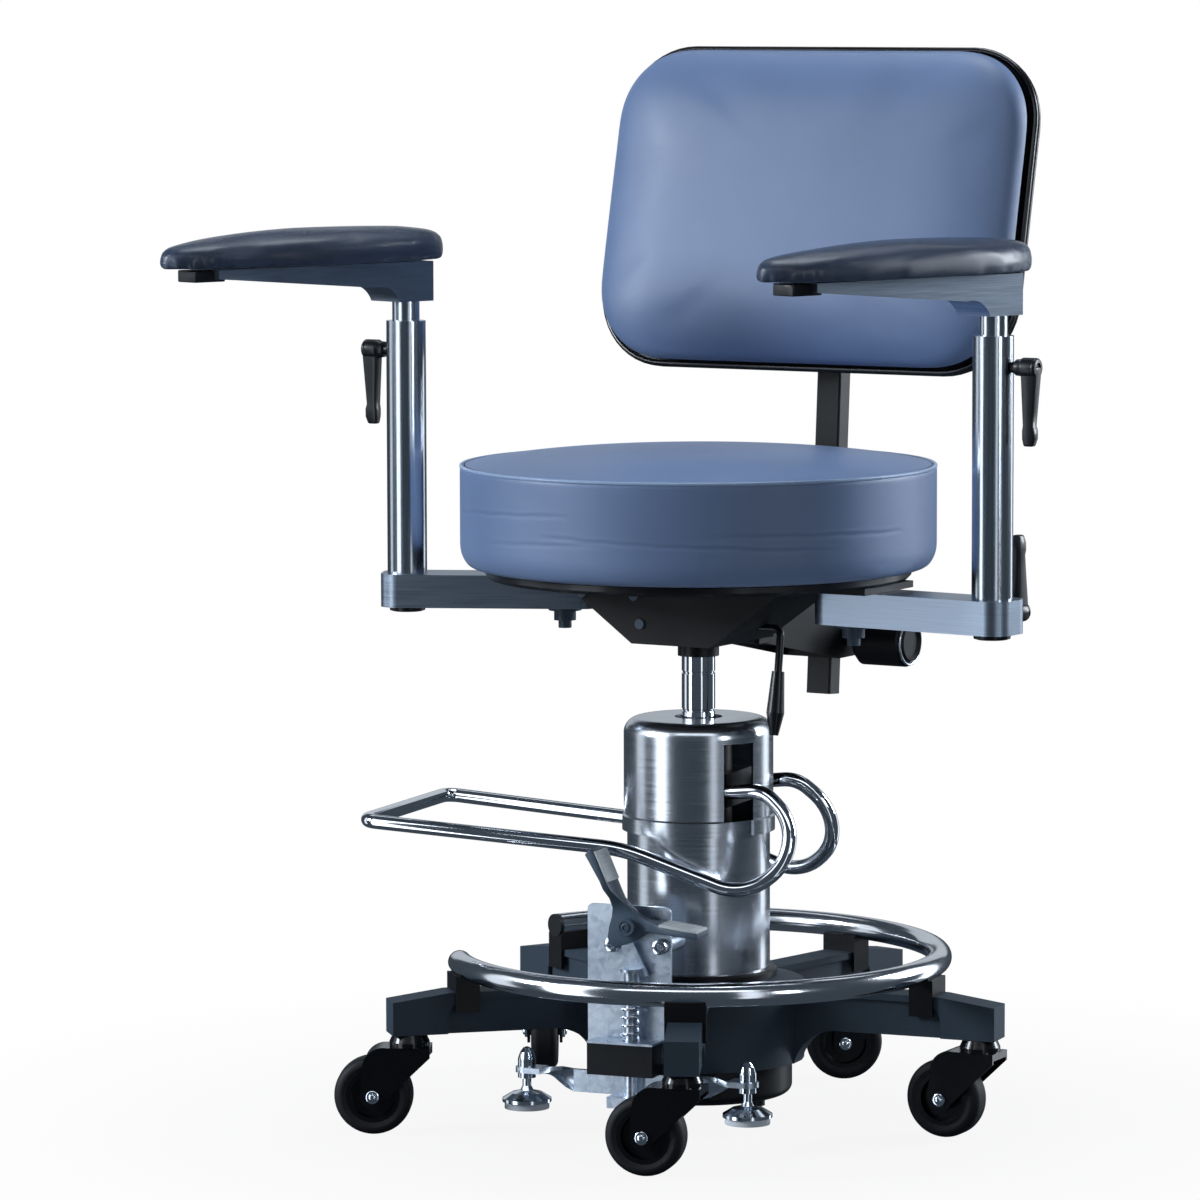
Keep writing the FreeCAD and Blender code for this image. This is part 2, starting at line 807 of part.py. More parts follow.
def bar_section(along, tall, wide, height):
    """A rectangle across the cross bar."""
    y = -value("plunger_offset - plunger_radius - bar_thick / 2")
    corners = []
    for side_y, side_z in ((-1, -1), (1, -1), (1, 1), (-1, 1), (-1, -1)):
        corners.append(Vector(along, y + side_y * wide / 2, height + side_z * tall / 2))
    return Part.makePolygon(corners)


def lock_crossbar():
    """A flat bar on edge, twisted flat at each end for the eye of a levelling foot."""
    depth = value("bar_depth")
    thick = value("bar_thick")
    middle = value("bar_middle")
    eye = value("eye_height")
    left = value("eye_left")
    right = value("eye_right")
    straight = (left + 46, right - 46)
    shape = Part.makeLoft([bar_section(along, depth, thick, middle) for along in straight], True, True)
    y = -value("plunger_offset - plunger_radius - bar_thick / 2")
    for along, end, side in ((straight[0], left, -1), (straight[1], right, 1)):
        sections = [bar_section(along, depth, thick, middle)]
        for step in (1, 2, 3):
            share = step / 3
            section = bar_section(along + share * 30 * side, depth, thick, middle + (eye - middle) * share)
            centre = Vector(along, y, middle + (eye - middle) * share)
            section.rotate(centre, Vector(1, 0, 0), 90 * share)
            sections.append(section)
        shape = shape.fuse(Part.makeLoft(sections, True, True))
        tongue = Part.makeBox(abs(end - along) - 28, depth, thick,
                              Vector(min(end, along + 28 * side), y - depth / 2, eye - thick / 2))
        disc = Part.makeCylinder(depth / 2, thick, Vector(end, y, eye - thick / 2))
        hole = Part.makeCylinder(value("stud_radius"), thick, Vector(end, y, eye - thick / 2))
        shape = shape.fuse(tongue).fuse(disc).cut(hole)
    item = free_form("lock_crossbar", shape.removeSplitter())
    return place(item, turn=about_z("base_heading"))


def foot_spot(end):
    heading = about_z("base_heading")
    return heading.multVec(Vector(value(end), -value("plunger_offset - plunger_radius - bar_thick / 2"), 0))


def lock_feet():
    disc_bottom = "foot_clearance + foot_pad_thick"
    feet = []
    for end in ("eye_left", "eye_right"):
        foot = turned("foot_of_" + end, [
            (0, disc_bottom),
            ("foot_disc", disc_bottom),
            ("foot_disc", "%s + 3" % disc_bottom),
            ("foot_disc - 8", "%s + 8" % disc_bottom),
            ("stud_radius + 2", "%s + 10" % disc_bottom),
            ("stud_radius", "%s + 14" % disc_bottom),
            ("stud_radius", "eye_height - bar_thick / 2 - 5"),
            ("nut_radius", "eye_height - bar_thick / 2 - 5"),
            ("nut_radius", "eye_height - bar_thick / 2"),
            ("stud_radius", "eye_height - bar_thick / 2"),
            ("stud_radius", "eye_height + bar_thick / 2"),
            ("nut_radius", "eye_height + bar_thick / 2"),
            ("nut_radius", "eye_height + bar_thick / 2 + 7"),
            ("nut_radius - 2", "eye_height + bar_thick / 2 + 13"),
            ("nut_radius - 5", "eye_height + bar_thick / 2 + 17"),
            (0, "eye_height + bar_thick / 2 + 18"),
        ])
        foot.Placement.Base = foot_spot(end)
        feet.append(foot)
    return group("lock_feet", feet)


def lock_foot_pads():
    pads = []
    for end in ("eye_left", "eye_right"):
        pads.append(disc("foot_pad", "foot_pad_thick", foot_spot(end) + Vector(0, 0, value("foot_clearance"))))
    return group("lock_foot_pads", pads)


def lock_spring():
    bottom = value("guide_bottom + guide_height + 2 + spring_wire")
    rise = value("plunger_top - plunger_ear - spring_wire - free_gap") - bottom
    radius = value("spring_radius")
    helix = Part.makeHelix(rise / value("spring_turns"), rise, radius)
    start = Vector(radius, 0, 0)
    circle = Part.makeCircle(value("spring_wire"), start, Vector(0, 1, 0))
    coil = Part.Wire(helix.Edges).makePipeShell([Part.Wire(circle)], True, True)
    item = free_form("lock_spring", coil)
    heading = about_z("base_heading")
    at = heading.multVec(Vector(value("plunger_along"), -value("plunger_offset"), bottom))
    item.Placement = Placement(at, heading)
    return item


# ---------------------------------------------------------------- casters

CASTERS = {"a": 3, "b": 4, "c": 0, "d": 2, "e": 1}


def caster_place(letter, leg):
    """The placement of a caster's own frame: stem along Z, wheel trailing along +X."""
    around = math.radians(value("base_heading + %d * 360 / leg_count" % leg))
    radius = value("stem_circle")
    at = Vector(radius * math.cos(around), radius * math.sin(around), 0)
    return Placement(at, about_z("trail_heading_" + letter))


def caster_fork(letter, spot):
    body = new_body("fork_of_" + letter)
    half = "wheel_width / 2 + fork_gap + fork_wall"
    lobe = "fork_lobe"
    extrude(body, "XZ_Plane", [
        ("-crown_radius", "fork_top"),
        ("-crown_radius", "fork_top - 9"),
        ("wheel_trail - %s * cos(20)" % lobe, "wheel_radius - %s * sin(20)" % lobe),
        ("wheel_trail + %s" % lobe, "wheel_radius", lobe, 1),
        ("wheel_trail + %s - 2" % lobe, "fork_top - 16"),
        ("crown_radius", "fork_top", "crown_radius", 1),
    ], "2 * (%s)" % half)
    extrude(body, "XZ_Plane", rectangle("-crown_radius - 1", -1, "wheel_trail + 2 * fork_lobe",
                                        "2 * wheel_radius + 3"),
            "wheel_width + 2 * fork_gap", cutting=True)
    revolve(body, [
        (0, "fork_top - 3"),
        ("raceway_radius - 4", "fork_top - 3"),
        ("raceway_radius", "fork_top"),
        ("raceway_radius", "fork_top + 4"),
        ("raceway_radius - 3", "leg_top - leg_depth - free_gap"),
        ("stem_radius", "leg_top - leg_depth - free_gap"),
        ("stem_radius", "leg_top - leg_depth + stem_length"),
        (0, "leg_top - leg_depth + stem_length"),
    ])
    axle = cylinder("axle_radius", "2 * (%s) + 4" % half, x="wheel_trail", y="%s + 2" % half, z="wheel_radius",
                    turn=towards(0, -1, 0))
    whole = fuse(body, axle)
    whole.Placement = spot
    return named(whole, "caster_%s_fork" % letter)


def wheel_part(label, points, spot):
    """A form turned about the axle; points are radius and place across the wheel."""
    body = turned(label, points)
    axle = Placement(Vector(value("wheel_trail"), 0, value("wheel_radius")), towards(0, -1, 0))
    body.Placement = spot.multiply(axle)
    return body


def caster_hub(letter, spot):
    side = "wheel_width / 2"
    rim = "wheel_radius - tyre_depth"
    return wheel_part("caster_%s_hub" % letter, [
        ("axle_radius + running_gap", "-%s" % side),
        ("axle_radius + 5", "-%s" % side),
        ("axle_radius + 7", "-(%s - hub_recess)" % side),
        ("hub_recess_radius", "-(%s - hub_recess)" % side),
        ("hub_recess_radius + 1", "-(%s - 1)" % side),
        (rim, "-(%s - 1)" % side),
        (rim, "%s - 1" % side),
        ("hub_recess_radius + 1", "%s - 1" % side),
        ("hub_recess_radius", "%s - hub_recess" % side),
        ("axle_radius + 7", "%s - hub_recess" % side),
        ("axle_radius + 5", side),
        ("axle_radius + running_gap", side),
    ], spot)


def caster_tyre(letter, spot):
    side = "wheel_width / 2"
    rim = "wheel_radius - tyre_depth"
    return wheel_part("caster_%s_tyre" % letter, [
        (rim, "-%s + 1" % side),
        ("wheel_radius - tyre_round", "-%s" % side),
        ("wheel_radius", "-%s + tyre_round" % side, "tyre_round", 1),
        ("wheel_radius", "%s - tyre_round" % side),
        ("wheel_radius - tyre_round", side, "tyre_round", 1),
        (rim, "%s - 1" % side),
    ], spot)


# ---------------------------------------------------------------- ram and seat


def ram_shaft():
    points = [(0, "ram_bottom"), ("ram_radius - 1", "ram_bottom"), ("ram_radius", "ram_bottom + 1")]
    for rise in ("cover_top + 5", "collar_bottom - 16"):
        points += [
            ("ram_radius", rise),
            ("ram_radius - ram_groove", "%s + 0.5" % rise),
            ("ram_radius - ram_groove", "%s + 2" % rise),
            ("ram_radius", "%s + 2.5" % rise),
        ]
    points += [("ram_radius", "ram_top - 1"), ("ram_radius - 1", "ram_top"), (0, "ram_top")]
    return turned("ram_shaft", points)


def hub_collar():
    return turned("hub_collar", [
        ("ram_radius + running_gap", "collar_bottom"),
        ("collar_radius", "collar_bottom"),
        ("collar_radius", "frame_bottom + frame_wall"),
        ("collar_radius + 6", "frame_bottom + frame_wall"),
        ("collar_radius + 6", "frame_bottom + frame_wall + 6"),
        ("collar_radius", "frame_bottom + frame_wall + 8"),
        ("collar_radius", "frame_top - 3"),
        ("ram_radius + running_gap", "frame_top - 3"),
    ])


def pan_outline(wall):
    """The frame's boat-shaped front view, inside its wall when wall is not 0."""
    return [
        ("-frame_half_bottom + %s * 0.6" % wall, "frame_bottom + %s" % wall),
        ("frame_half_bottom - %s * 0.6" % wall, "frame_bottom + %s" % wall),
        ("frame_half_top - %s * 1.4" % wall, "frame_top"),
        ("-frame_half_top + %s * 1.4" % wall, "frame_top"),
    ]


def tilt_frame():
    body = new_body("frame_pan")
    depth = "frame_front + frame_back"
    extrude(body, "XZ_Plane", pan_outline(0), depth, centred=False, offset="frame_front", backwards=True)
    extrude(body, "XZ_Plane", pan_outline("frame_wall"), "%s - 2 * frame_wall" % depth, centred=False, cutting=True,
            offset="frame_front - frame_wall")
    plate = box("2 * plate_half", "plate_front + frame_back", "plate_thick", y="(frame_back - plate_front) / 2",
                z="frame_top")
    cap = box("2 * frame_half_top", "%s" % depth, "plate_thick", y="(frame_back - frame_front) / 2", z="frame_top")
    ears = []
    for side in (-1, 1):
        inner = "arm_half + free_gap"
        ear = box("ear_wall", "tilt_pivot_back - frame_back + 20", "2 * tilt_lobe",
                  x="%d * (%s + ear_wall / 2)" % (side, inner), y="(tilt_pivot_back + frame_back) / 2",
                  z="tilt_pivot_height - tilt_lobe + 2")
        ears.append(ear)
    socket = cylinder("collar_radius + 0.05", "frame_top", z=0)
    bolt_holes = []
    for side in (-1, 1):
        bolt_holes.append(cylinder("arm_bolt", 40, x="%d * arm_bolt_side" % side, y="arm_bolt_back", z="frame_top - 10"))
    pin = cylinder("tilt_pin + running_gap", "4 * arm_half", x="-2 * arm_half", y="tilt_pivot_back",
                   z="tilt_pivot_height", turn=towards(1, 0, 0))
    lever = cylinder("lever_rod + free_gap", "frame_half_top", x="frame_half_bottom / 2", y="lever_forward",
                     z="lever_height", turn=towards(1, 0, 0))
    return named(cut(fuse(body, plate, cap, *ears), socket, pin, lever, *bolt_holes), "tilt_frame")


def mechanism_fasteners():
    """Two arm bolts with washers and nuts, and the bright pins on the frame's front wall."""
    items = []
    low = "frame_top - free_gap - bar_height - free_gap"
    for side in (-1, 1):
        items.append(turned("arm_bolt_" + ("left" if side < 0 else "right"), [
            (0, "%s - 19" % low),
            ("arm_bolt", "%s - 19" % low),
            ("arm_bolt", "%s - 12" % low),
            ("arm_bolt + 4", "%s - 12" % low),
            ("arm_bolt + 4", "%s - 3" % low),
            ("arm_bolt + 9", "%s - 3" % low),
            ("arm_bolt + 9", low),
            ("arm_bolt", low),
            ("arm_bolt", "frame_top + plate_thick"),
            (0, "frame_top + plate_thick"),
        ]))
        place(items[-1], "%d * arm_bolt_side" % side, "arm_bolt_back")
    upper = "frame_top - pin_drop"
    for x, z in (("-pin_outer", upper), ("-pin_inner", upper), ("6 - pin_inner", "frame_bottom + 2 * pin_drop")):
        items.append(cylinder("pin_radius", "pin_proud", x=x, y="-frame_front", z=z, turn=towards(0, -1, 0)))
    return group("mechanism_fasteners", items)


def seat_board():
    bottom = "frame_top + plate_thick"
    return turned("seat_board", [
        (0, bottom),
        ("board_radius - 3", bottom),
        ("board_radius", "%s + 3" % bottom),
        ("board_radius", "%s + board_thick" % bottom),
        (0, "%s + board_thick" % bottom),
    ])


def seat_cushion():
    bottom = "frame_top + plate_thick + board_thick"
    middle = "(%s + seat_seam) / 2" % bottom
    return turned("seat_cushion", [
        (0, bottom),
        ("seat_radius - seat_round", bottom),
        ("seat_radius", "%s + seat_round" % bottom, "seat_round", 1),
        ("seat_radius + seat_bulge", middle),
        ("seat_radius", "seat_seam"),
        ("seat_radius - 2 * seat_round", "seat_height"),
        (0, "seat_height"),
    ])


def tilt_lever():
    """A cranked rod through the frame's side with a tapered grip that hangs from it."""
    side = value("lever_side")
    forward = value("lever_forward")
    height = value("lever_height")
    lean = math.radians(value("lever_lean"))
    down = Vector(0, -math.sin(lean), -math.cos(lean))
    elbow = Vector(side, forward, height)
    end = elbow + down * value("lever_length - lever_grip_length")
    start = Vector(value("frame_half_bottom"), forward, height)
    rod = bent_rod([(start, None), (elbow, "2 * lever_rod"), (end, None)], value("lever_rod"))
    radius = value("lever_grip")
    swell = value("lever_grip_length") * 0.65
    upper = Part.makeCone(radius * 0.7, radius, swell, end, down)
    tip = Part.makeCone(radius, radius * 0.5, value("lever_grip_length") - swell, end + down * swell, down)
    return free_form("tilt_lever", rod.fuse(upper.fuse(tip)).removeSplitter())


# ---------------------------------------------------------------- back


def lean_turn():
    return Rotation(Vector(1, 0, 0), -value("post_lean"))


def post_place(slack=0):
    """The post's own frame: Z along the post, origin at its lower end."""
    lean = math.radians(value("post_lean"))
    at = Vector(0, value("clamp_back") - math.sin(lean) * value("post_lean_height - post_bottom"), value("post_bottom") - slack)
    return Placement(at, lean_turn())


def back_arm():
    """A cast channel from the tilt pin to the post clamp."""
    body = new_body("back_channel")
    lobe = "tilt_lobe"
    pivot_high = "tilt_pivot_height + %s" % lobe
    clamp_top = "clamp_bottom + clamp_height"
    front = "clamp_back - clamp_length / 2 - 18"
    back = "clamp_back + clamp_length / 2 - 18"
    extrude(body, "YZ_Plane", [
        ("tilt_pivot_back", pivot_high),
        ("tilt_pivot_back - %s * sin(20)" % lobe, "tilt_pivot_height - %s * cos(20)" % lobe, lobe, 1),
        (front, "clamp_bottom"),
        (back, "clamp_bottom"),
        (back, clamp_top),
        (front, clamp_top),
    ], "2 * arm_half")
    extrude(body, "YZ_Plane", rectangle("tilt_pivot_back + 20", "clamp_bottom - 1", "%s - 4" % front,
                                        "tilt_pivot_height - 2"),
            "2 * (arm_half - arm_wall)", cutting=True)
    pin = cylinder("tilt_pin", "2 * (arm_half + ear_wall + 3)", x="-(arm_half + ear_wall + 3)", y="tilt_pivot_back",
                   z="tilt_pivot_height", turn=towards(1, 0, 0))
    socket = block("post_width + 2 * free_gap", "post_depth + 2 * free_gap", "post_length", post_place(),
                   "-post_width / 2 - free_gap", "-post_depth / 2 - free_gap")
    knob_bore = cylinder("knob_stem + running_gap", "arm_half", x=0, y="clamp_back - 16", z="knob_height + 10",
                         turn=towards(1, 0, 0))
    return named(cut(fuse(body, pin), socket, knob_bore), "back_arm")


def back_knob():
    body = turned("back_knob", [
        (0, "post_width / 2 + 1"),
        ("knob_stem", "post_width / 2 + 1"),
        ("knob_stem", "arm_half + 10"),
        ("knob_radius - 4", "arm_half + 10"),
        ("knob_radius", "arm_half + 14"),
        ("knob_radius", "arm_half + knob_length + 4"),
        ("knob_radius - 6", "arm_half + knob_length + 10"),
        ("knob_radius - 9", "arm_half + knob_length + 7"),
        (0, "arm_half + knob_length + 7"),
    ])
    return place(body, 0, "clamp_back - 16", "knob_height + 10", turn=towards(1, 0, 0))


def back_post():
    bar = box("post_width", "post_depth", "post_length")
    whole = doc.addObject("Part::Fillet", "PostEdges")
    whole.Base = bar
    doc.recompute()
    whole.Edges = [(index + 1, 2.0, 2.0) for index, edge in enumerate(bar.Shape.Edges)
                   if abs(edge.Vertexes[0].Z - edge.Vertexes[1].Z) > 1]
    whole.Placement = post_place()
    return named(whole, "back_post")


def rest_place():
    """The backrest's own frame: Y backwards through it, Z up it, origin at the front's centre."""
    return Placement(Vector(0, value("back_front"), value("back_centre")),
                     Rotation(Vector(1, 0, 0), -value("back_recline")))


def rest_slab(label, front, thick, inset):
    body = new_body(label)
    half = "back_width / 2 - %s" % inset
    tall = "back_tall / 2 - %s" % inset
    extrude(body, "XZ_Plane", rounded("-(%s)" % half, "-(%s)" % tall, half, tall, "back_round"), thick,
            centred=False, offset="-(%s)" % front, backwards=True)
    return body


def backrest_shell():
    slab = rest_slab("shell_slab", "back_cushion", "back_shell", 3)
    slab.Placement = rest_place()
    reach = value("back_cushion + back_shell")
    at = post_place()
    wide = value("back_bracket_wide")
    deep = value("back_bracket_deep")
    low = value("post_length - back_bracket_tall - 10")
    mount = Part.makeBox(wide, deep, value("back_bracket_tall"), Vector(-wide / 2, -value("post_depth / 2") - deep, low))
    mount.Placement = at
    span = value("back_width")
    behind = Part.makeBox(span, span / 2, span, Vector(-span / 2, reach - 1, -span / 2))
    behind.Placement = rest_place()
    bracket = free_form("shell_bracket", mount.common(behind))
    return named(fuse(slab, bracket), "backrest_shell")


def backrest_cushion():
    slab = rest_slab("backrest_cushion", 0, "back_cushion", 0)
    soften(slab, "back_softness", lambda middle: middle.y < 1)
    slab.Placement = rest_place()
    return slab


# ---------------------------------------------------------------- arms


def side_place(side):
    """An arm's own frame: origin under its bolt, X along the bar."""
    swing = value("swing_left" if side < 0 else "swing_right")
    return Placement(Vector(side * value("arm_bolt_side"), value("arm_bolt_back"), 0),
                     Rotation(Vector(0, 0, 1), swing))


def post_spot(side):
    return side_place(side).multVec(Vector(value("bar_length"), 0, 0))


def arm_bar(side, label):
    body = new_body(label)
    end = "bar_length + tube_radius + 5"
    low = "frame_top - free_gap - bar_height"
    extrude(body, "XY_Plane", rounded("-bar_inner", "-bar_width / 2", end, "bar_width / 2", "bar_round"),
            "bar_height", centred=False, offset=low)
    hole = body.newObject("Sketcher::SketchObject", "BoltHole")
    hole.AttachmentSupport = [(origin_item(body, "XY_Plane"), "")]
    hole.MapMode = "FlatFace"
    circle = Part.Circle(Vector(0, 0, 0), Vector(0, 0, 1), value("arm_bolt + running_gap"))
    hole.addGeometry(circle, False)
    hole.addConstraint(Sketcher.Constraint("Coincident", 0, 3, -1, 1))
    rule = hole.addConstraint(Sketcher.Constraint("Radius", 0, value("arm_bolt + running_gap")))
    hole.setExpression("Constraints[%d]" % rule, bound("arm_bolt + running_gap"))
    bore = body.newObject("PartDesign::Pocket", "Pocket")
    bore.Profile = hole
    bore.Type = "ThroughAll"
    bore.Midplane = True
    body.Tip = bore
    body.Placement = side_place(side)
    return body


def arm_tube(side, label):
    low = "frame_top - free_gap"
    body = turned(label, [
        ("tube_radius - tube_wall", low),
        ("tube_radius", low),
        ("tube_radius", "tube_top"),
        ("rod_radius + running_gap", "tube_top"),
        ("rod_radius + running_gap", "tube_top - bush_length"),
        ("tube_radius - tube_wall", "tube_top - bush_length"),
    ])
    spot = post_spot(side)
    body.Placement.Base = Vector(spot.x, spot.y, 0)
    return body


def arm_rod(side, label):
    body = turned(label, [
        (0, "rod_bottom"),
        ("rod_radius - 1", "rod_bottom"),
        ("rod_radius", "rod_bottom + 1"),
        ("rod_radius", "bracket_bottom + bracket_root"),
        (0, "bracket_bottom + bracket_root"),
    ])
    spot = post_spot(side)
    body.Placement.Base = Vector(spot.x, spot.y, 0)
    return body


def rest_frame(side):
    spot = post_spot(side)
    return Placement(Vector(spot.x, spot.y, 0), Rotation(Vector(0, 0, 1), value("rest_heading")))


def arm_bracket(side, label):
    body = new_body("body_of_" + label)
    extrude(body, "XZ_Plane", [
        ("-bracket_back", "bracket_bottom"),
        ("bracket_front", "bracket_bottom"),
        ("2 * bracket_front + 4", "bracket_top - bracket_root", "bracket_cove", -1),
        ("bracket_reach", "bracket_top - bracket_tip"),
        ("bracket_reach", "bracket_top"),
        ("-bracket_back", "bracket_top"),
    ], "2 * bracket_half")
    socket = cylinder("rod_radius + running_gap", "bracket_root + running_gap + 1", z="bracket_bottom - 1")
    whole = cut(body, socket)
    whole.Placement = rest_frame(side)
    return named(whole, label)


def arm_pad(side, label):
    body = new_body(label)
    tip = "pad_length - pad_back"
    half = "(pad_width / 2 - pad_taper)"
    extrude(body, "XY_Plane", [
        ("-pad_back", 0, "pad_nose", 1),
        ("pad_shoulder - pad_back", "-%s" % half, "pad_nose", 1),
        ("%s - pad_shoulder" % tip, "-%s" % half, "pad_bow", 1),
        (tip, 0, "pad_nose", 1),
        ("%s - pad_shoulder" % tip, half, "pad_nose", 1),
        ("pad_shoulder - pad_back", half, "pad_bow", 1),
    ], "pad_thick", centred=False, offset="bracket_top")
    body.Placement = rest_frame(side)
    return body


def clamp_lever(label, spot, out, along, reach):
    """A clamp screw along out with a tapered, squared handle along the other direction."""
    hub = cylinder("clamp_hub", "clamp_wide", z="clamp_reach - clamp_wide")
    neck = cylinder("clamp_hub - 1.5", "clamp_reach / 4", z="clamp_reach - clamp_wide - clamp_reach / 4")
    screw = cylinder("clamp_hub - 4", "clamp_reach - clamp_wide", z="free_gap")
    sections = []
    for share, wide in ((0, "clamp_wide"), (0.74, "clamp_waist"), (0.84, "clamp_waist + 3"), (1, "clamp_waist")):
        half = value(wide) / 2
        thick = value("clamp_thick") / 2 * (1 - 0.3 * share)
        at = value("clamp_handle") * share
        middle = value("clamp_reach - clamp_wide / 2")
        corners = [(-thick, -half), (thick, -half), (thick, half), (-thick, half), (-thick, -half)]
        sections.append(Part.makePolygon([Vector(at, across, middle + up) for across, up in corners]))
    handle = free_form("clamp_handle_form", Part.makeLoft(sections, True, True))
    whole = fuse(hub, neck, screw, handle)
    frame = Rotation(along, along.cross(out) * -1, out, "ZXY")
    whole.Placement = Placement(spot + out * reach, frame)
    return named(whole, label)


def arm(side, name):
    turn = side_place(side).Rotation
    spot = post_spot(side)
    arm_bar(side, name + "_arm_bar")
    arm_tube(side, name + "_arm_tube")
    arm_rod(side, name + "_arm_rod")
    arm_bracket(side, name + "_arm_bracket")
    arm_pad(side, name + "_arm_pad")
    outward = Vector(side, 0, 0)
    upper = Vector(spot.x, spot.y, value("upper_clamp"))
    clamp_lever(name + "_arm_upper_clamp", upper, outward, Vector(0, 0, -1), value("tube_radius"))
    rear = turn.multVec(Vector(0, side, 0))
    lower = Vector(spot.x, spot.y, value("frame_top - free_gap - bar_height / 2"))
    clamp_lever(name + "_arm_lower_clamp", lower, rear, Vector(0, 0, 1), value("bar_width / 2"))


# ---------------------------------------------------------------- assembly

base_casting()
pump_cylinder()
pump_reservoir()
drain_plug()
column_tube()
column_cover()
foot_ring()
ring_end_caps()
ring_saddles()
lever = pump_lever()
place(pump_lever_hub(lever.Shape.copy()), turn=about_z("base_heading"))
place(lever, turn=about_z("base_heading"))
lock_plate()
lock_guide_block()
lock_rocker()
lock_plunger()
lock_crossbar()
lock_feet()
lock_foot_pads()
lock_spring()
for letter, leg in CASTERS.items():
    spot = caster_place(letter, leg)
    caster_fork(letter, spot)
    caster_hub(letter, spot)
    caster_tyre(letter, spot)
ram_shaft()
hub_collar()
tilt_frame()
mechanism_fasteners()
seat_board()
seat_cushion()
tilt_lever()
back_arm()
back_knob()
back_post()
backrest_shell()
backrest_cushion()
arm(-1, "right")
arm(1, "left")

NODES = """base_casting pump_cylinder pump_reservoir drain_plug column_tube column_cover foot_ring ring_end_caps
ring_saddles pump_lever pump_lever_hub lock_plate lock_guide_block lock_rocker lock_plunger lock_crossbar lock_feet
lock_foot_pads lock_spring ram_shaft hub_collar tilt_frame mechanism_fasteners seat_board seat_cushion tilt_lever
back_arm back_knob back_post backrest_shell backrest_cushion""".split()
for letter in CASTERS:
    NODES += ["caster_%s_%s" % (letter, piece) for piece in ("fork", "hub", "tyre")]
for name in ("left", "right"):
    NODES += ["%s_arm_%s" % (name, piece) for piece in
              ("bar", "tube", "rod", "bracket", "pad", "upper_clamp", "lower_clamp")]

doc.recompute()
faults = [item.Label for item in doc.Objects if "Invalid" in item.State or "Error" in item.State]
parts = {}
for node in NODES:
    found = doc.getObjectsByLabel(node)
    shape = found[0].Shape if found else None
    if shape is None or shape.isNull() or not shape.isValid() or not shape.Solids:
        faults.append(node)
    parts[node] = shape
if faults:
    raise RuntimeError("failed: " + ", ".join(faults))

os.makedirs("parts", exist_ok=True)
for node, shape in parts.items():
    shape.exportStep("parts/%s.step" % node)
print(len(parts), "sub-parts written")
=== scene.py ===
import json
import math

import bmesh
import bpy
from mathutils import Matrix, Vector, noise


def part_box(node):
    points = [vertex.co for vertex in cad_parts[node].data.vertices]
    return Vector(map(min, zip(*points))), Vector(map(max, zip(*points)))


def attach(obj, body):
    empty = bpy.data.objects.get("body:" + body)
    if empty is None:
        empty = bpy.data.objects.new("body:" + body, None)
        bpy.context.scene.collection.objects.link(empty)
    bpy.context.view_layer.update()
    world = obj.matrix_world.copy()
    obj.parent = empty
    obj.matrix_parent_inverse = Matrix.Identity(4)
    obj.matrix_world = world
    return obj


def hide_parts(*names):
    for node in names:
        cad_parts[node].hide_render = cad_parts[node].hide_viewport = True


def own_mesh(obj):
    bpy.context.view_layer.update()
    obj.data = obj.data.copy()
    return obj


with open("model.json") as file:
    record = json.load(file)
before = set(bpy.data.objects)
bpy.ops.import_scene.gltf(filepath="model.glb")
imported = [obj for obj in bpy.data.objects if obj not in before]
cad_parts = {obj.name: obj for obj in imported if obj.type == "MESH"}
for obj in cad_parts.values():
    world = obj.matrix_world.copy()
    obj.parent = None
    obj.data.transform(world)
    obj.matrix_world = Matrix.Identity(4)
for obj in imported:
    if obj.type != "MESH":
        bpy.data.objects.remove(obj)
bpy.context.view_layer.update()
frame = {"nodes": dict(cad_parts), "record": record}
nodes = frame["nodes"]
print("frame loaded:", len(nodes), "nodes")

clothFrames = 20

# Working by hand


def startClean():
    if bpy.context.object and bpy.context.object.mode != "OBJECT":
        bpy.ops.object.mode_set(mode="OBJECT")
    bpy.ops.object.select_all(action="DESELECT")


def isolate(thing):
    startClean()
    thing.select_set(True)
    bpy.context.view_layer.objects.active = thing


def pick(kind, test):
    # selects the vertices, edges or faces of the mesh being edited that pass the test
    data = bpy.context.object.data
    bpy.ops.mesh.select_mode(type=kind)
    bpy.ops.mesh.select_all(action="DESELECT")
    mesh = bmesh.from_edit_mesh(data)
    group = {"VERT": mesh.verts, "EDGE": mesh.edges, "FACE": mesh.faces}[kind]
    for item in group:
        item.select_set(bool(test(item)))
    mesh.select_flush_mode()
    bmesh.update_edit_mesh(data)


def modify(thing, kind, **settings):
    isolate(thing)
    modifier = thing.modifiers.new(kind.lower(), kind)
    for key, value in settings.items():
        setattr(modifier, key, value)
    bpy.ops.object.modifier_apply(modifier=modifier.name)


def settle(thing):
    isolate(thing)
    bpy.ops.object.transform_apply(location=True, rotation=True, scale=True)


def spin(degrees, axis):
    return Matrix.Rotation(math.radians(degrees), 4, axis)


def unit(value):
    # held between 0 and 1
    return max(0, min(1, value))


def editWhole():
    bpy.ops.object.mode_set(mode="EDIT")
    bpy.ops.mesh.select_all(action="SELECT")


def faceOut():
    bpy.ops.mesh.select_all(action="SELECT")
    bpy.ops.mesh.normals_make_consistent(inside=False)


def extrude(x, y, z):
    bpy.ops.mesh.extrude_region_move(TRANSFORM_OT_translate={"value": (x, y, z)})


def narrow(ratio, height=0):
    bpy.ops.transform.resize(value=(ratio, ratio, 1), center_override=(0, 0, height))


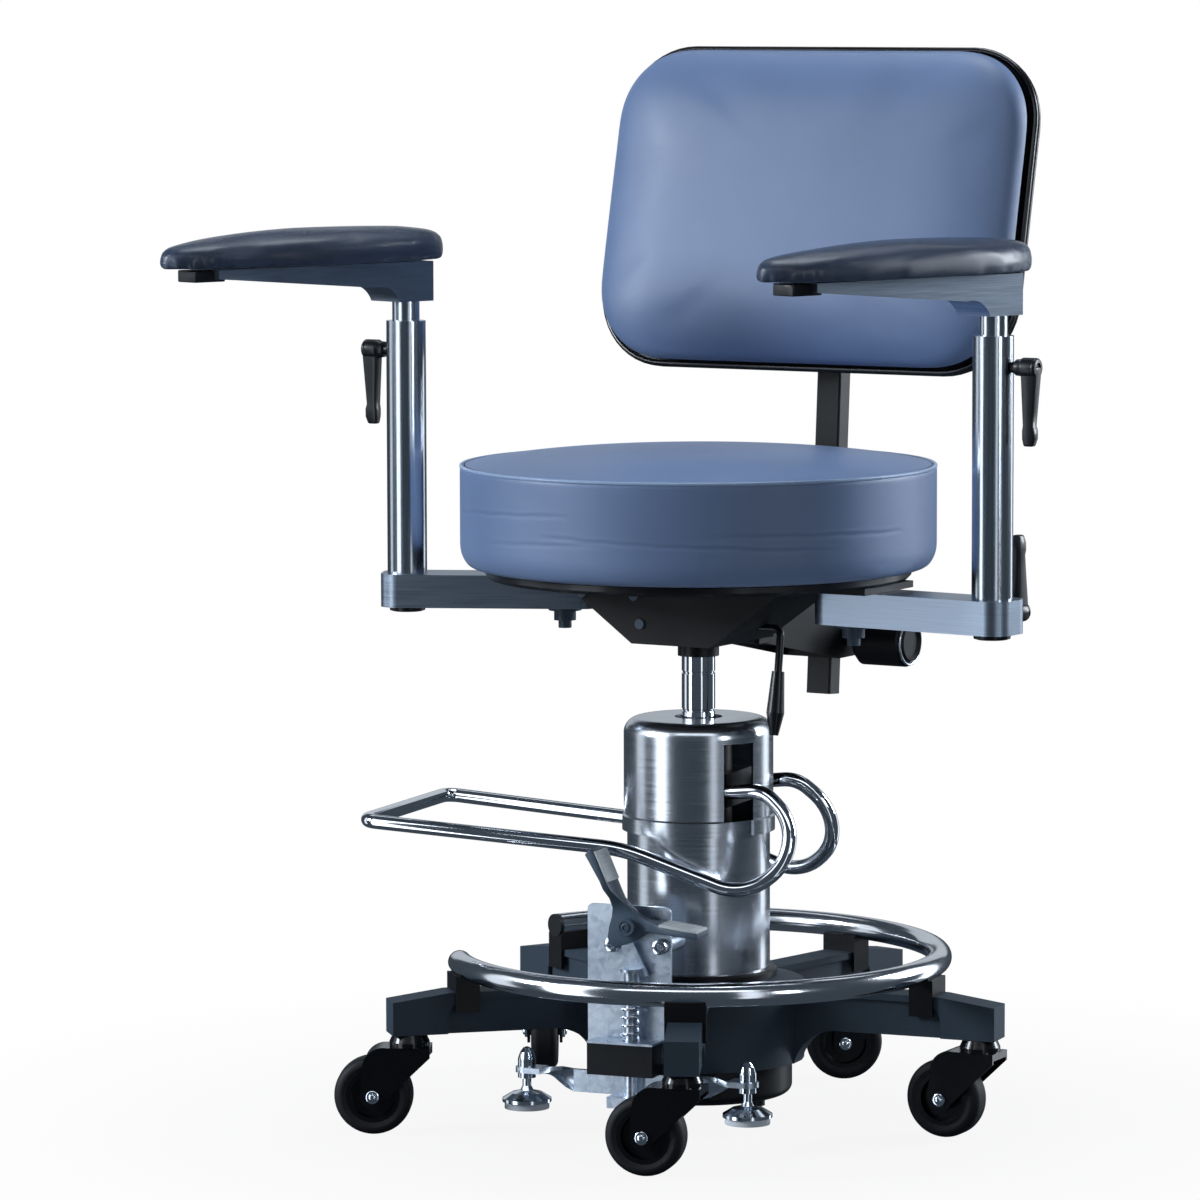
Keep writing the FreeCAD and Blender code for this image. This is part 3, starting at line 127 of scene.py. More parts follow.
def puff(thing, pressure, cap, pinned):
    # a cover blown up over its filling; pinned picks the points that stay glued down
    rest = [v.co.copy() for v in thing.data.vertices]
    group = thing.vertex_groups.new(name="glued")
    group.add([v.index for v in thing.data.vertices if pinned(v.co)], 1.0, "REPLACE")
    cloth = thing.modifiers.new("cloth", "CLOTH")
    cloth.settings.use_pressure = True
    cloth.settings.uniform_pressure_force = pressure
    cloth.settings.effector_weights.gravity = 0
    cloth.settings.vertex_group_mass = "glued"
    for step in range(1, clothFrames + 1):
        bpy.context.scene.frame_set(step)
    isolate(thing)
    bpy.ops.object.modifier_apply(modifier=cloth.name)
    bpy.context.scene.frame_set(1)
    for vertex, start in zip(thing.data.vertices, rest):
        move = vertex.co - start
        if move.length > cap:
            vertex.co = start + move * (cap / move.length)


def swell(thing, voxel, pressure, cap, pinned):
    # the same for a plain solid, which is first given an even mesh
    modify(thing, "REMESH", mode="VOXEL", voxel_size=voxel)
    puff(thing, pressure, cap, pinned)
    modify(thing, "SMOOTH", iterations=5, factor=0.5)
    modify(thing, "SUBSURF", levels=1, render_levels=1)


def finishPiece(thing, name, material, body, replaced=()):
    thing.name = name
    thing.data.name = name
    settle(thing)
    bpy.ops.object.shade_smooth_by_angle(angle=math.radians(40))
    thing.data.materials.clear()
    thing.data.materials.append(finish[material])
    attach(thing, body)
    if replaced:
        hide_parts(*replaced)
    return thing

# Stage, lights and camera

camera = {
    "place": (2.702, -4.680, 1.0292),
    "heading": 30.931,
    "pitch": 5.912,
    "roll": -0.146,
    "lens": 182.54,
}
studio = {
    "floorSize": 24,
    "floorShade": 0.30,
    "glow": {"camera": 1.0, "glossy": 0.075, "other": 0.06},
    "shadeColour": (0.62, 0.80, 1.0),
    "lamps": {
        "key": {"around": -138, "away": 3.8, "height": 1.8, "size": (1.1, 1.3), "watts": 150},
        "fill": {"around": 50, "away": 3.4, "height": 1.5, "size": (0.8, 1.8), "watts": 110},
        "top": {"around": 100, "away": 0.5, "height": 3.2, "size": (1.4, 1.4), "watts": 42},
        "low": {"around": -20, "away": 3.6, "height": 1.0, "size": (0.5, 1.2), "watts": 16},
    },
    "lampColour": (0.86, 0.93, 1.0),
    "aim": (0, 0, 0.55),
    "cards": {
        "main": {"around": -118, "away": 1.2, "wide": 19, "low": -0.6, "high": 1.25, "glow": 2.4},
        "left": {"around": -160, "away": 3.0, "wide": 18, "low": -1.2, "high": 2.0, "glow": 1.0},
        "middle": {"around": -37, "away": 3.0, "wide": 9, "low": -1.4, "high": 2.0, "glow": 1.2},
        "right": {"around": 66, "away": 3.0, "wide": 16, "low": -1.2, "high": 2.2, "glow": 1.8},
        "behind": {"around": 122, "away": 3.0, "wide": 60, "low": 0.5, "high": 1.8, "glow": 0.6},
        "overFront": {"around": -66, "away": 2.0, "wide": 70, "low": 1.7, "high": 2.5, "glow": 2.2},
        "overBack": {"around": 118, "away": 1.6, "wide": 80, "low": 2.2, "high": 3.0, "glow": 1.2},
    },
}


def setCamera():
    data = bpy.data.cameras.new("camera")
    data.lens = camera["lens"]
    data.clip_end = 100
    thing = bpy.data.objects.new("camera", data)
    bpy.context.scene.collection.objects.link(thing)
    turn = spin(camera["heading"], "Z")
    tilt = spin(90 - camera["pitch"], "X")
    roll = spin(camera["roll"], "Z")
    thing.matrix_world = Matrix.Translation(camera["place"]) @ turn @ tilt @ roll
    bpy.context.scene.camera = thing
    bpy.context.scene.view_settings.view_transform = "Standard"


def addLamp(name, spec):
    data = bpy.data.lights.new(name, "AREA")
    data.shape = "RECTANGLE"
    data.size, data.size_y = spec["size"]
    data.energy = spec["watts"]
    data.color = studio["lampColour"]
    thing = bpy.data.objects.new(name, data)
    bpy.context.scene.collection.objects.link(thing)
    around = math.radians(spec["around"])
    away = spec["away"]
    thing.location = (away * math.cos(around), away * math.sin(around), spec["height"])
    aim = Vector(studio["aim"]) - thing.location
    thing.rotation_euler = aim.to_track_quat("-Z", "Y").to_euler()


# Material maths


class Wire:
    def __init__(self, paint, socket):
        self.paint = paint
        self.socket = socket

    def maths(self, operation, *values):
        return self.paint.node("ShaderNodeMath", {"operation": operation}, dict(enumerate(values)))

    def __add__(self, other):
        return self.maths("ADD", self, other)

    def __sub__(self, other):
        return self.maths("SUBTRACT", self, other)

    def __mul__(self, other):
        return self.maths("MULTIPLY", self, other)

    def __truediv__(self, other):
        return self.maths("DIVIDE", self, other)

    def __pow__(self, other):
        return self.maths("POWER", self, other)

    def __radd__(self, other):
        return self.maths("ADD", other, self)

    def __rsub__(self, other):
        return self.maths("SUBTRACT", other, self)

    def __rmul__(self, other):
        return self.maths("MULTIPLY", other, self)


class Paint:
    def __init__(self, name, **sockets):
        self.material = bpy.data.materials.new(name)
        self.material.use_nodes = True
        self.tree = self.material.node_tree
        self.shader = self.tree.nodes["Principled BSDF"]
        self.set(**sockets)

    def node(self, kind, settings, values, output=0):
        made = self.tree.nodes.new(kind)
        for key, value in settings.items():
            if key == "stops":
                ramp = made.color_ramp
                while len(ramp.elements) < len(value):
                    ramp.elements.new(0.5)
                for stop, (place, shade) in zip(ramp.elements, value):
                    stop.position = place
                    stop.color = (*shade, 1) if len(shade) == 3 else shade
            else:
                setattr(made, key, value)
        for key, value in values.items():
            self.feed(made.inputs[key], value)
        return Wire(self, made.outputs[output])

    def feed(self, socket, value):
        if isinstance(value, bpy.types.NodeSocket):
            self.tree.links.new(value, socket)
        elif isinstance(value, Wire):
            self.tree.links.new(value.socket, socket)
        elif hasattr(value, "__len__") and len(value) == 3 and socket.type == "RGBA":
            socket.default_value = (*value, 1)
        else:
            socket.default_value = value

    def set(self, **sockets):
        for key, value in sockets.items():
            self.feed(self.shader.inputs[key.replace("_", " ")], value)

    def place(self):
        return self.node("ShaderNodeTexCoord", {}, {}, "Object")

    def mapped(self, scale=(1, 1, 1), turn=(0, 0, 0), centre=(0, 0, 0)):
        ends = {0: self.place(), 1: centre}
        shift = self.node("ShaderNodeVectorMath", {"operation": "SUBTRACT"}, ends)
        turned = self.node("ShaderNodeMapping", {}, {"Vector": shift, "Rotation": turn})
        return self.node("ShaderNodeMapping", {}, {"Vector": turned, "Scale": scale})

    def split(self, vector):
        made = self.tree.nodes.new("ShaderNodeSeparateXYZ")
        self.feed(made.inputs[0], vector)
        return [Wire(self, out) for out in made.outputs]

    def join(self, x, y, z):
        return self.node("ShaderNodeCombineXYZ", {}, {0: x, 1: y, 2: z})

    def noise(self, vector, scale, detail=2.0, rough=0.5):
        values = {"Vector": vector, "Scale": scale, "Detail": detail, "Roughness": rough}
        return self.node("ShaderNodeTexNoise", {}, values)

    def span(self, wire, low, high, newLow=0.0, newHigh=1.0):
        values = {"Value": wire, "From Min": low, "From Max": high}
        values.update({"To Min": newLow, "To Max": newHigh})
        return self.node("ShaderNodeMapRange", {}, values)

    def mix(self, factor, first, second):
        # sockets 6, 7 and 2 are the node's colour inputs and its colour result
        made = self.tree.nodes.new("ShaderNodeMix")
        made.data_type = "RGBA"
        self.feed(made.inputs["Factor"], factor)
        self.feed(made.inputs[6], first)
        self.feed(made.inputs[7], second)
        return Wire(self, made.outputs[2])

    def bump(self, height, depth, strength=1.0):
        values = {"Height": height, "Distance": depth, "Strength": strength}
        self.set(Normal=self.node("ShaderNodeBump", {}, values))


def paleFloor():
    shade = (studio["floorShade"],) * 3
    paint = Paint("paleFloor", Base_Color=shade, Roughness=0.9, Specular_IOR_Level=0.0)
    glow = paint.node("ShaderNodeEmission", {}, {"Color": (1, 1, 1), "Strength": 1.0})
    seen = paint.node("ShaderNodeLightPath", {}, {}, "Is Camera Ray")
    length = {"operation": "LENGTH"}
    away = paint.node("ShaderNodeVectorMath", length, {0: paint.place()}, "Value")
    white = paint.span(away, 0.2, 0.8, 0.90, 1.0)
    blended = {0: seen * white, 1: paint.shader.outputs[0], 2: glow}
    shown = paint.node("ShaderNodeMixShader", {}, blended)
    paint.tree.links.new(shown.socket, paint.tree.nodes["Material Output"].inputs["Surface"])
    return paint.material


def addCard(name, spec):
    # a bright card that only reflections meet, which gives polished metal its bands
    paint = Paint(name + "Card")
    bright = {"Color": (*studio["lampColour"], 1), "Strength": spec["glow"]}
    glow = paint.node("ShaderNodeEmission", {}, bright)
    paint.tree.links.new(glow.socket, paint.tree.nodes["Material Output"].inputs["Surface"])
    reach = spec["away"]
    startClean()
    bpy.ops.mesh.primitive_plane_add(size=1)
    card = bpy.context.object
    card.name = name + "Card"
    around = math.radians(spec["around"])
    wide = 2 * reach * math.tan(math.radians(spec["wide"]) / 2)
    turn = Matrix.Rotation(around + math.pi / 2, 4, "Z") @ Matrix.Rotation(math.pi / 2, 4, "X")
    middle = (spec["low"] + spec["high"]) / 2
    centre = Vector((reach * math.cos(around), reach * math.sin(around), middle))
    size = Matrix.Diagonal((wide, spec["high"] - spec["low"], 1, 1))
    card.data.transform(Matrix.Translation(centre) @ turn @ size)
    card.data.materials.append(paint.material)
    for ray in ("visible_camera", "visible_diffuse", "visible_shadow", "visible_transmission"):
        setattr(card, ray, False)


def setStudio():
    startClean()
    bpy.ops.mesh.primitive_plane_add(size=studio["floorSize"])
    floor = bpy.context.object
    floor.name = "floor"
    floor.data.materials.append(paleFloor())
    floor.visible_glossy = False
    for name, spec in studio["cards"].items():
        addCard(name, spec)
    world = bpy.data.worlds.new("studio")
    bpy.context.scene.world = world
    world.use_nodes = True
    tree = world.node_tree
    back = tree.nodes["Background"]
    path = tree.nodes.new("ShaderNodeLightPath")
    level = studio["glow"]["other"]
    for ray in ("glossy", "camera"):
        blend = tree.nodes.new("ShaderNodeMapRange")
        tree.links.new(path.outputs["Is %s Ray" % ray.capitalize()], blend.inputs["Value"])
        if isinstance(level, float):
            blend.inputs["To Min"].default_value = level
        else:
            tree.links.new(level, blend.inputs["To Min"])
        blend.inputs["To Max"].default_value = studio["glow"][ray]
        level = blend.outputs[0]
    tree.links.new(level, back.inputs["Strength"])
    shade = tree.nodes.new("ShaderNodeMix")
    shade.data_type = "RGBA"
    tree.links.new(path.outputs["Is Camera Ray"], shade.inputs["Factor"])
    shade.inputs[6].default_value = (*studio["shadeColour"], 1)
    shade.inputs[7].default_value = (1, 1, 1, 1)
    tree.links.new(shade.outputs[2], back.inputs["Color"])
    for name, spec in studio["lamps"].items():
        addLamp(name, spec)


setStudio()
setCamera()
print("studio set")

# Finishes


def vinyl(name, colour, shine, fleck):
    paint = Paint(name, Specular_IOR_Level=0.38)
    place = paint.place()
    edges = {"feature": "DISTANCE_TO_EDGE"}
    cells = paint.node("ShaderNodeTexVoronoi", edges, {"Vector": place, "Scale": 900.0})
    grain = paint.noise(place, 1400.0, 3)
    patch = paint.noise(place, 7.0, 3)
    deep = tuple(c * (1 - fleck) for c in colour)
    pale = tuple(min(1, c * (1 + fleck)) for c in colour)
    paint.set(Base_Color=paint.mix(paint.span(patch, 0.3, 0.7), deep, pale))
    paint.set(Roughness=paint.span(patch, 0.25, 0.75, shine - 0.04, shine + 0.05))
    paint.bump(paint.span(cells, 0.0, 0.12) * 0.7 + grain * 0.5, 0.00012, 0.6)
    return paint.material


def brushed(name, colour, rough, lines, around=None, depth=0.00002):
    # around is the axis that the brush went round, else lines run across Z
    paint = Paint(name, Metallic=1.0)
    if around is None:
        stretched = paint.mapped(lines)
    else:
        x, y, z = paint.split(paint.mapped(centre=around))
        angle = paint.node("ShaderNodeMath", {"operation": "ARCTAN2"}, {0: y, 1: x})
        stretched = paint.join(angle * 1.5, 0.0, z * lines)
    fine = paint.noise(stretched, 1.0, 4, 0.6)
    broad = paint.noise(paint.place(), 9.0, 2)
    shade = paint.mix(paint.span(fine, 0.3, 0.7), tuple(c * 0.72 for c in colour), colour)
    paint.set(Base_Color=shade)
    paint.set(Roughness=paint.span(fine, 0.25, 0.75, rough - 0.04, rough + 0.05) + broad * 0.02)
    paint.bump(fine, depth, 0.4)
    return paint.material


def mirror(name, colour, rough):
    paint = Paint(name, Metallic=1.0, Base_Color=colour)
    smear = paint.noise(paint.place(), 22.0, 3)
    paint.set(Roughness=paint.span(smear, 0.35, 0.8, rough, rough + 0.06))
    paint.bump(paint.noise(paint.place(), 60.0, 1), 0.00002, 0.4)
    return paint.material


def coated(name, colour, rough, grainScale, grainDepth, coat=0.0):
    paint = Paint(name, Coat_Weight=coat, Coat_Roughness=0.12, Specular_IOR_Level=0.25)
    grain = paint.noise(paint.place(), grainScale, 3, 0.6)
    patch = paint.noise(paint.place(), 12.0, 3)
    deep = tuple(c * 0.8 for c in colour)
    paint.set(Base_Color=paint.mix(paint.span(patch, 0.3, 0.7), deep, colour))
    paint.set(Roughness=paint.span(patch, 0.3, 0.7, rough, rough + 0.1))
    paint.bump(grain, grainDepth, 0.6)
    return paint.material


def zincPlate(name):
    paint = Paint(name, Metallic=1.0)
    cells = {"Vector": paint.place(), "Scale": 260.0}
    spangle = paint.node("ShaderNodeTexVoronoi", {}, cells, "Color")
    cloud = paint.noise(paint.place(), 30.0, 3)
    shade = paint.split(spangle)[0] * 0.35 + cloud * 0.65
    deep, pale = (0.52, 0.60, 0.72), (0.74, 0.81, 0.90)
    paint.set(Base_Color=paint.mix(paint.span(shade, 0.2, 0.8), deep, pale))
    paint.set(Roughness=paint.span(shade, 0.2, 0.8, 0.26, 0.40))
    paint.bump(paint.noise(paint.place(), 260.0, 3), 0.00004, 0.4)
    return paint.material


finish = {
    "powderCoat": coated("powderCoat", (0.032, 0.050, 0.072), 0.5, 1500.0, 0.00016),
    "blackSteel": coated("blackSteel", (0.0035, 0.004, 0.006), 0.36, 700.0, 0.00006, 0.04),
    "blackPlastic": coated("blackPlastic", (0.005, 0.006, 0.009), 0.34, 1100.0, 0.0001, 0.2),
    "whitePlastic": coated("whitePlastic", (0.72, 0.76, 0.82), 0.45, 900.0, 0.0001),
    "tyreRubber": coated("tyreRubber", (0.007, 0.008, 0.011), 0.55, 1300.0, 0.00012),
    "castGrey": coated("castGrey", (0.06, 0.09, 0.13), 0.42, 600.0, 0.0003, 0.1),
    "columnSteel": brushed("columnSteel", (0.70, 0.74, 0.80), 0.21, 900.0, (0, 0, 0), 0.000012),
    "ringSteel": mirror("ringSteel", (0.78, 0.80, 0.85), 0.13),
    "chrome": mirror("chrome", (0.86, 0.88, 0.93), 0.035),
    "zinc": zincPlate("zinc"),
    "brightZinc": mirror("brightZinc", (0.78, 0.84, 0.92), 0.12),
    "gloss": coated("gloss", (0.004, 0.004, 0.006), 0.16, 500.0, 0.00002, 0.35),
    "barAluminium": brushed("barAluminium", (0.33, 0.39, 0.48), 0.34, (20.0, 20.0, 1200.0)),
    "tubeSteel": brushed(
        "tubeSteel", (0.60, 0.65, 0.72), 0.17, (900.0, 900.0, 9.0), depth=0.000008
    ),
    "paleTread": coated("paleTread", (0.62, 0.66, 0.68), 0.42, 1500.0, 0.0001),
    "dullBlack": coated("dullBlack", (0.003, 0.003, 0.005), 0.5, 700.0, 0.00006),
    # the welt's vinyl is a lighter blue than the seat's: a painted highlight along the seam
    "weltPaintedHighlight": vinyl("weltPaintedHighlight", (0.27, 0.37, 0.55), 0.28, 0.05),
    "thread": coated("thread", (0.020, 0.028, 0.060), 0.6, 3000.0, 0.00005),
    "trimBlack": coated("trimBlack", (0.004, 0.004, 0.006), 0.24, 400.0, 0.00003, 0.3),
    "blueVinyl": vinyl("blueVinyl", (0.140, 0.205, 0.360), 0.36, 0.08),
    # the arm pads' vinyl: a darker blue than the seat's, with its colour darkened further as
    # painted shade for the pads' shaded sides
    "darkVinylPaintedShade": vinyl("darkVinylPaintedShade", (0.034, 0.050, 0.088), 0.22, 0.12),
}
slotFinish = {
    "powder_coat": "powderCoat",
    "black_steel": "blackSteel",
    "brushed_steel": "columnSteel",
    "polished_steel": "ringSteel",
    "chrome": "chrome",
    "zinc": "zinc",
    "cast_grey": "castGrey",
    "aluminium": "barAluminium",
    "black_plastic": "blackPlastic",
    "white_plastic": "whitePlastic",
    "tyre_rubber": "tyreRubber",
    "blue_vinyl": "blueVinyl",
    "dark_vinyl": "darkVinylPaintedShade",
}
nodeFinish = {
    "lock_feet": "brightZinc",
    "back_post": "blackSteel",
    "tilt_frame": "dullBlack",
    "back_arm": "dullBlack",
    "back_knob": "dullBlack",
    "mechanism_fasteners": "castGrey",
}
for side in ("left", "right"):
    nodeFinish[side + "_arm_tube"] = "tubeSteel"
    nodeFinish[side + "_arm_rod"] = "tubeSteel"
for letter in "abcde":
    nodeFinish["caster_%s_hub" % letter] = "gloss"
    nodeFinish["caster_%s_fork" % letter] = "gloss"

for part in frame["record"]["subparts"]:
    name = part["node"]
    chosen = finish[nodeFinish.get(name, slotFinish[part["material_slot"]])]
    for slot in nodes[name].material_slots:
        slot.material = chosen
print("finishes applied")

# Seat cushion

seatCushion = {
    "radius": 0.2125,
    "bottom": 0.500,
    "seam": 0.591,
    "crown": 0.0115,
    "foot": 0.012,
    "sideLoops": 14,
    "topStep": 0.009,
    "bottomStep": 0.022,
    "bulge": 0.0055,
    "welt": 0.0017,
    "weltSteps": 180,
    "pressure": 3.2,
    "stitches": 440,
    "stitchInset": 0.0042,
    "creaseWander": 0.0016,
    "creaseWidth": 0.0016,
    "creaseDepth": 0.00055,
    # level, slope, reach, start and strength
    "creases": (
        (0.552, 0.010, 0.9, -2.5, 1.0),
        (0.541, -0.008, 1.3, -1.75, 1.3),
        (0.546, -0.004, 1.0, -1.05, 1.0),
        (0.536, 0.006, 1.1, 0.5, 0.8),
        (0.549, -0.006, 1.2, 2.0, 1.0),
        (0.531, 0.007, 0.7, -2.1, 0.6),
    ),
}


def creaseHeight(angle, height):
    # long shallow creases that wander round the boxing
    spec = seatCushion
    depth = 0
    for level, slope, reach, start, strength in spec["creases"]:
        along = (angle - start) % (2 * math.pi)
        if along < reach:
            fade = math.sin(math.pi * along / reach) ** 0.5
            wander = noise.noise(Vector((along * 9, level * 300, 0)))
            line = level + slope * along + spec["creaseWander"] * wander
            away = (height - line) / spec["creaseWidth"]
            swollen = 0.45 * math.exp(-((away - 1.6) ** 2))
            depth += strength * fade * (swollen - math.exp(-(away**2)))
    return depth * spec["creaseDepth"]


def makeSeatCushion():
    spec = seatCushion
    tall = spec["seam"] - spec["bottom"]
    tuck = spec["foot"] * 0.75
    startClean()
    bpy.ops.mesh.primitive_cylinder_add(vertices=120, radius=spec["radius"], depth=tall,
                                        location=(0, 0, spec["bottom"] + tall / 2))
    thing = bpy.context.object
    settle(thing)
    bpy.ops.object.mode_set(mode="EDIT")
    pick("EDGE", lambda e: abs(e.verts[0].co.z - e.verts[1].co.z) > tall / 2)
    bpy.ops.mesh.subdivide(number_cuts=spec["sideLoops"])
    for end, step in ((spec["seam"], spec["topStep"]), (spec["bottom"], spec["bottomStep"])):
        pick("FACE", lambda f: abs(f.calc_center_median().z - end) < 1e-5)
        for _ in range(int(spec["radius"] / step) - 1):
            bpy.ops.mesh.inset(thickness=step, use_boundary=True)
        bpy.ops.mesh.merge(type="COLLAPSE")
    bpy.ops.object.mode_set(mode="OBJECT")
    for vertex in thing.data.vertices:
        x, y, z = vertex.co
        out = math.hypot(x, y) / spec["radius"]
        if z > spec["seam"] - 1e-5:
            vertex.co.z += spec["crown"] * (1 - out**2.4) ** 0.75 if out < 1 else 0
        elif z > spec["bottom"] + 1e-5:
            low = max(0, 1 - (z - spec["bottom"]) / (spec["foot"] * 1.6))
            pull = 1 - (tuck * low**2) / spec["radius"]
            vertex.co.x, vertex.co.y = x * pull, y * pull
        else:
            pull = 1 - tuck / spec["radius"]
            vertex.co.x, vertex.co.y = x * pull, y * pull
    puff(
        thing,
        spec["pressure"],
        spec["bulge"],
        lambda co: co.z < spec["bottom"] + 0.001 or abs(co.z - spec["seam"]) < 1e-4,
    )
    modify(thing, "SUBSURF", levels=2, render_levels=2)
    for vertex in thing.data.vertices:
        x, y, z = vertex.co
        out = math.hypot(x, y)
        if spec["bottom"] + 0.004 < z < spec["seam"] - 0.004 and out > spec["radius"] - 0.01:
            push = creaseHeight(math.atan2(y, x), z)
            vertex.co.x += x / out * push
            vertex.co.y += y / out * push
    finishPiece(thing, "seatCushion", "blueVinyl", "seat", ["seat_cushion"])
    return thing


def stitchRow(name, places, long, wide, material, body):
    # one stitch, copied along (point, along, out)
    startClean()
    bpy.ops.mesh.primitive_uv_sphere_add(segments=6, ring_count=4, radius=1)
    model = bpy.context.object
    joined = bmesh.new()
    for point, along, out in places:
        side = out.cross(along).normalized()
        turn = Matrix((side * wide, along * long, out * wide)).transposed().to_4x4()
        copy = model.data.copy()
        copy.transform(Matrix.Translation(point) @ turn)
        joined.from_mesh(copy)
        bpy.data.meshes.remove(copy)
    bmesh.ops.recalc_face_normals(joined, faces=joined.faces)
    joined.to_mesh(model.data)
    joined.free()
    return finishPiece(model, name, material, body)


def tubeAlong(name, points, radius, material, body, closed=True):
    startClean()
    if closed:
        bpy.ops.curve.primitive_bezier_circle_add()
    else:
        bpy.ops.curve.primitive_bezier_curve_add()
    thing = bpy.context.object
    curve = thing.data
    curve.splines.clear()
    spline = curve.splines.new("POLY")
    spline.points.add(len(points) - 1)
    for spot, point in zip(spline.points, points):
        spot.co = (*point, 1)
    spline.use_cyclic_u = closed
    curve.bevel_depth = radius
    curve.bevel_resolution = 3
    curve.use_fill_caps = not closed
    bpy.ops.object.convert(target="MESH")
    return finishPiece(bpy.context.object, name, material, body)


def makeSeatSeam(cushion):
    spec = seatCushion
    weltLine, places = [], []
    for step in range(spec["weltSteps"]):
        angle = 2 * math.pi * step / spec["weltSteps"]
        out = Vector((math.cos(angle), math.sin(angle), 0))
        start = out * 0.4 + Vector((0, 0, spec["seam"] - 0.001))
        _, point, _, _ = cushion.ray_cast(start, -out)
        weltLine.append(point + out * 0.0002 + Vector((0, 0, 0.0006)))
    # the welt wears the lighter vinyl, which paints a highlight along the seam
    tubeAlong("seatWelt", weltLine, spec["welt"], "weltPaintedHighlight", "seat")
    for step in range(spec["stitches"]):
        angle = 2 * math.pi * step / spec["stitches"]
        out = Vector((math.cos(angle), math.sin(angle), 0))
        start = out * (spec["radius"] - spec["stitchInset"]) + Vector((0, 0, 0.7))
        _, point, normal, _ = cushion.ray_cast(start, Vector((0, 0, -1)))
        along = Vector((0, 0, 1)).cross(out)
        places.append((point, along, normal))
    stitchRow("seatStitches", places, 0.00105, 0.00042, "thread", "seat")


seatPiece = makeSeatCushion()
makeSeatSeam(seatPiece)
print("seat cushion made")

# Backrest

backrest = {
    "wide": 0.424,
    "tall": 0.292,
    "corner": 0.067,
    "rear": -0.039,
    "rings": (
        1.0, 0.993, 0.983, 0.971, 0.957, 0.94, 0.92, 0.895, 0.865, 0.83, 0.79,
        0.745, 0.695, 0.64, 0.58, 0.515, 0.445, 0.37, 0.29, 0.205, 0.115, 0.02,
    ),
    "side": 0.012,
    "rise": 0.0245,
    "roll": 0.048,
    "crown": 0.0045,
    "swell": 0.0025,
    "hinge": (0, 0.178, 0.820),
    "lean": 13,
    "pressure": 1.2,
    "smoothings": 18,
    "pipe": 0.0030,
    "pipeWide": 0.432,
    "pipeTall": 0.300,
    "pipeCorner": 0.070,
    "pipes": {"backPipeFront": (-0.0405, -0.0035), "backPipeRear": (-0.0465, -0.0045)},
}


def backPlace():
    # from flat, face up, to its place on the back post
    return Matrix.Translation(backrest["hinge"]) @ spin(90 - backrest["lean"], "X")


def roundedOutline(wide, tall, corner, steps=12):
    points = []
    for centreX, centreY, start in (
        (wide / 2 - corner, tall / 2 - corner, 0),
        (corner - wide / 2, tall / 2 - corner, 90),
        (corner - wide / 2, corner - tall / 2, 180),
        (wide / 2 - corner, corner - tall / 2, 270),
    ):
        for step in range(steps + 1):
            angle = math.radians(start + 90 * step / steps)
            x, y = corner * math.cos(angle), corner * math.sin(angle)
            points.append(Vector((centreX + x, centreY + y, 0)))
    return points


def evenSteps(points, step):
    # the same closed line with its corners kept and its long runs divided
    made = []
    for start, end in zip(points, points[1:] + points[:1]):
        count = max(1, round((end - start).length / step))
        made += [start.lerp(end, i / count) for i in range(count) if (end - start).length > 1e-6]
    return made


def makeBackCushion():
    spec = backrest
    outline = roundedOutline(spec["wide"], spec["tall"], spec["corner"], 14)
    outline = evenSteps(outline, 0.0085)
    startClean()
    bpy.ops.mesh.primitive_circle_add(vertices=len(outline), radius=1, fill_type="NGON")
    thing = bpy.context.object
    for vertex, point in zip(thing.data.vertices, outline):
        vertex.co = point
    editWhole()
    before, low = 1.0, 0.0
    for high in (0.5, 1.0):
        extrude(0, 0, spec["side"] * (high - low))
        low = high
    for shrink in spec["rings"][1:]:
        extrude(0, 0, 0.0001)
        ratio = shrink / before
        narrow(ratio)
        before = shrink
    bpy.ops.mesh.merge(type="COLLAPSE")
    faceOut()
    bpy.ops.object.mode_set(mode="OBJECT")
    for vertex in thing.data.vertices:
        x, y, z = vertex.co
        if z > spec["side"] + 1e-6:
            flatX = abs(x) - spec["wide"] / 2 + spec["corner"]
            flatY = abs(y) - spec["tall"] / 2 + spec["corner"]
            reach = math.hypot(max(flatX, 0), max(flatY, 0)) + min(max(flatX, flatY), 0)
            inward = unit((spec["corner"] - reach) / spec["roll"])
            crown = (1 - (2 * x / spec["wide"]) ** 2) * (1 - (2 * y / spec["tall"]) ** 2)
            rise = spec["rise"] * (1 - (1 - inward) ** 2.6) ** 0.62
            vertex.co.z = spec["side"] + rise + spec["crown"] * crown
    thing.data.transform(Matrix.Translation((0, 0, spec["rear"])))
    puff(thing, spec["pressure"], spec["swell"], lambda co: co.z < spec["rear"] + 0.013)
    modify(thing, "SMOOTH", iterations=spec["smoothings"], factor=0.5)
    modify(thing, "SUBSURF", levels=2, render_levels=2)
    thing.data.transform(backPlace())
    finishPiece(thing, "backCushion", "blueVinyl", "back_rest", ["backrest_cushion"])


def makeBackPiping():
    spec = backrest
    place = backPlace()
    for name, (depth, grow) in spec["pipes"].items():
        line = roundedOutline(
            spec["pipeWide"] + grow, spec["pipeTall"] + grow, spec["pipeCorner"] + grow / 2
        )
        line = [place @ (p + Vector((0, 0, depth))) for p in line]
        tubeAlong(name, line, spec["pipe"], "trimBlack", "back_rest")


makeBackCushion()
makeBackPiping()
print("backrest made")

# Arm rests

armPad = {
    "long": 0.316,
    "wide": 0.092,
    "thick": 0.026,
    "waist": 0.011,
    "waistAt": 0.27,
    "soft": 0.012,
    "swell": 0.0075,
    "back": 0.043,
    "bottom": 0.7695,
    "heading": 253,
    "posts": {"left": (0.2925, 0.0037), "right": (-0.2791, -0.0458)},
    "tucks": 26,
    "voxel": 0.004,
    "pressure": 4.0,
    "stopAt": (0.235, 0, 0.7605),
    "stopLow": (-0.017, -0.0125, -0.0032),
    "stopHigh": (0.017, 0.0125, 0.0074),
}


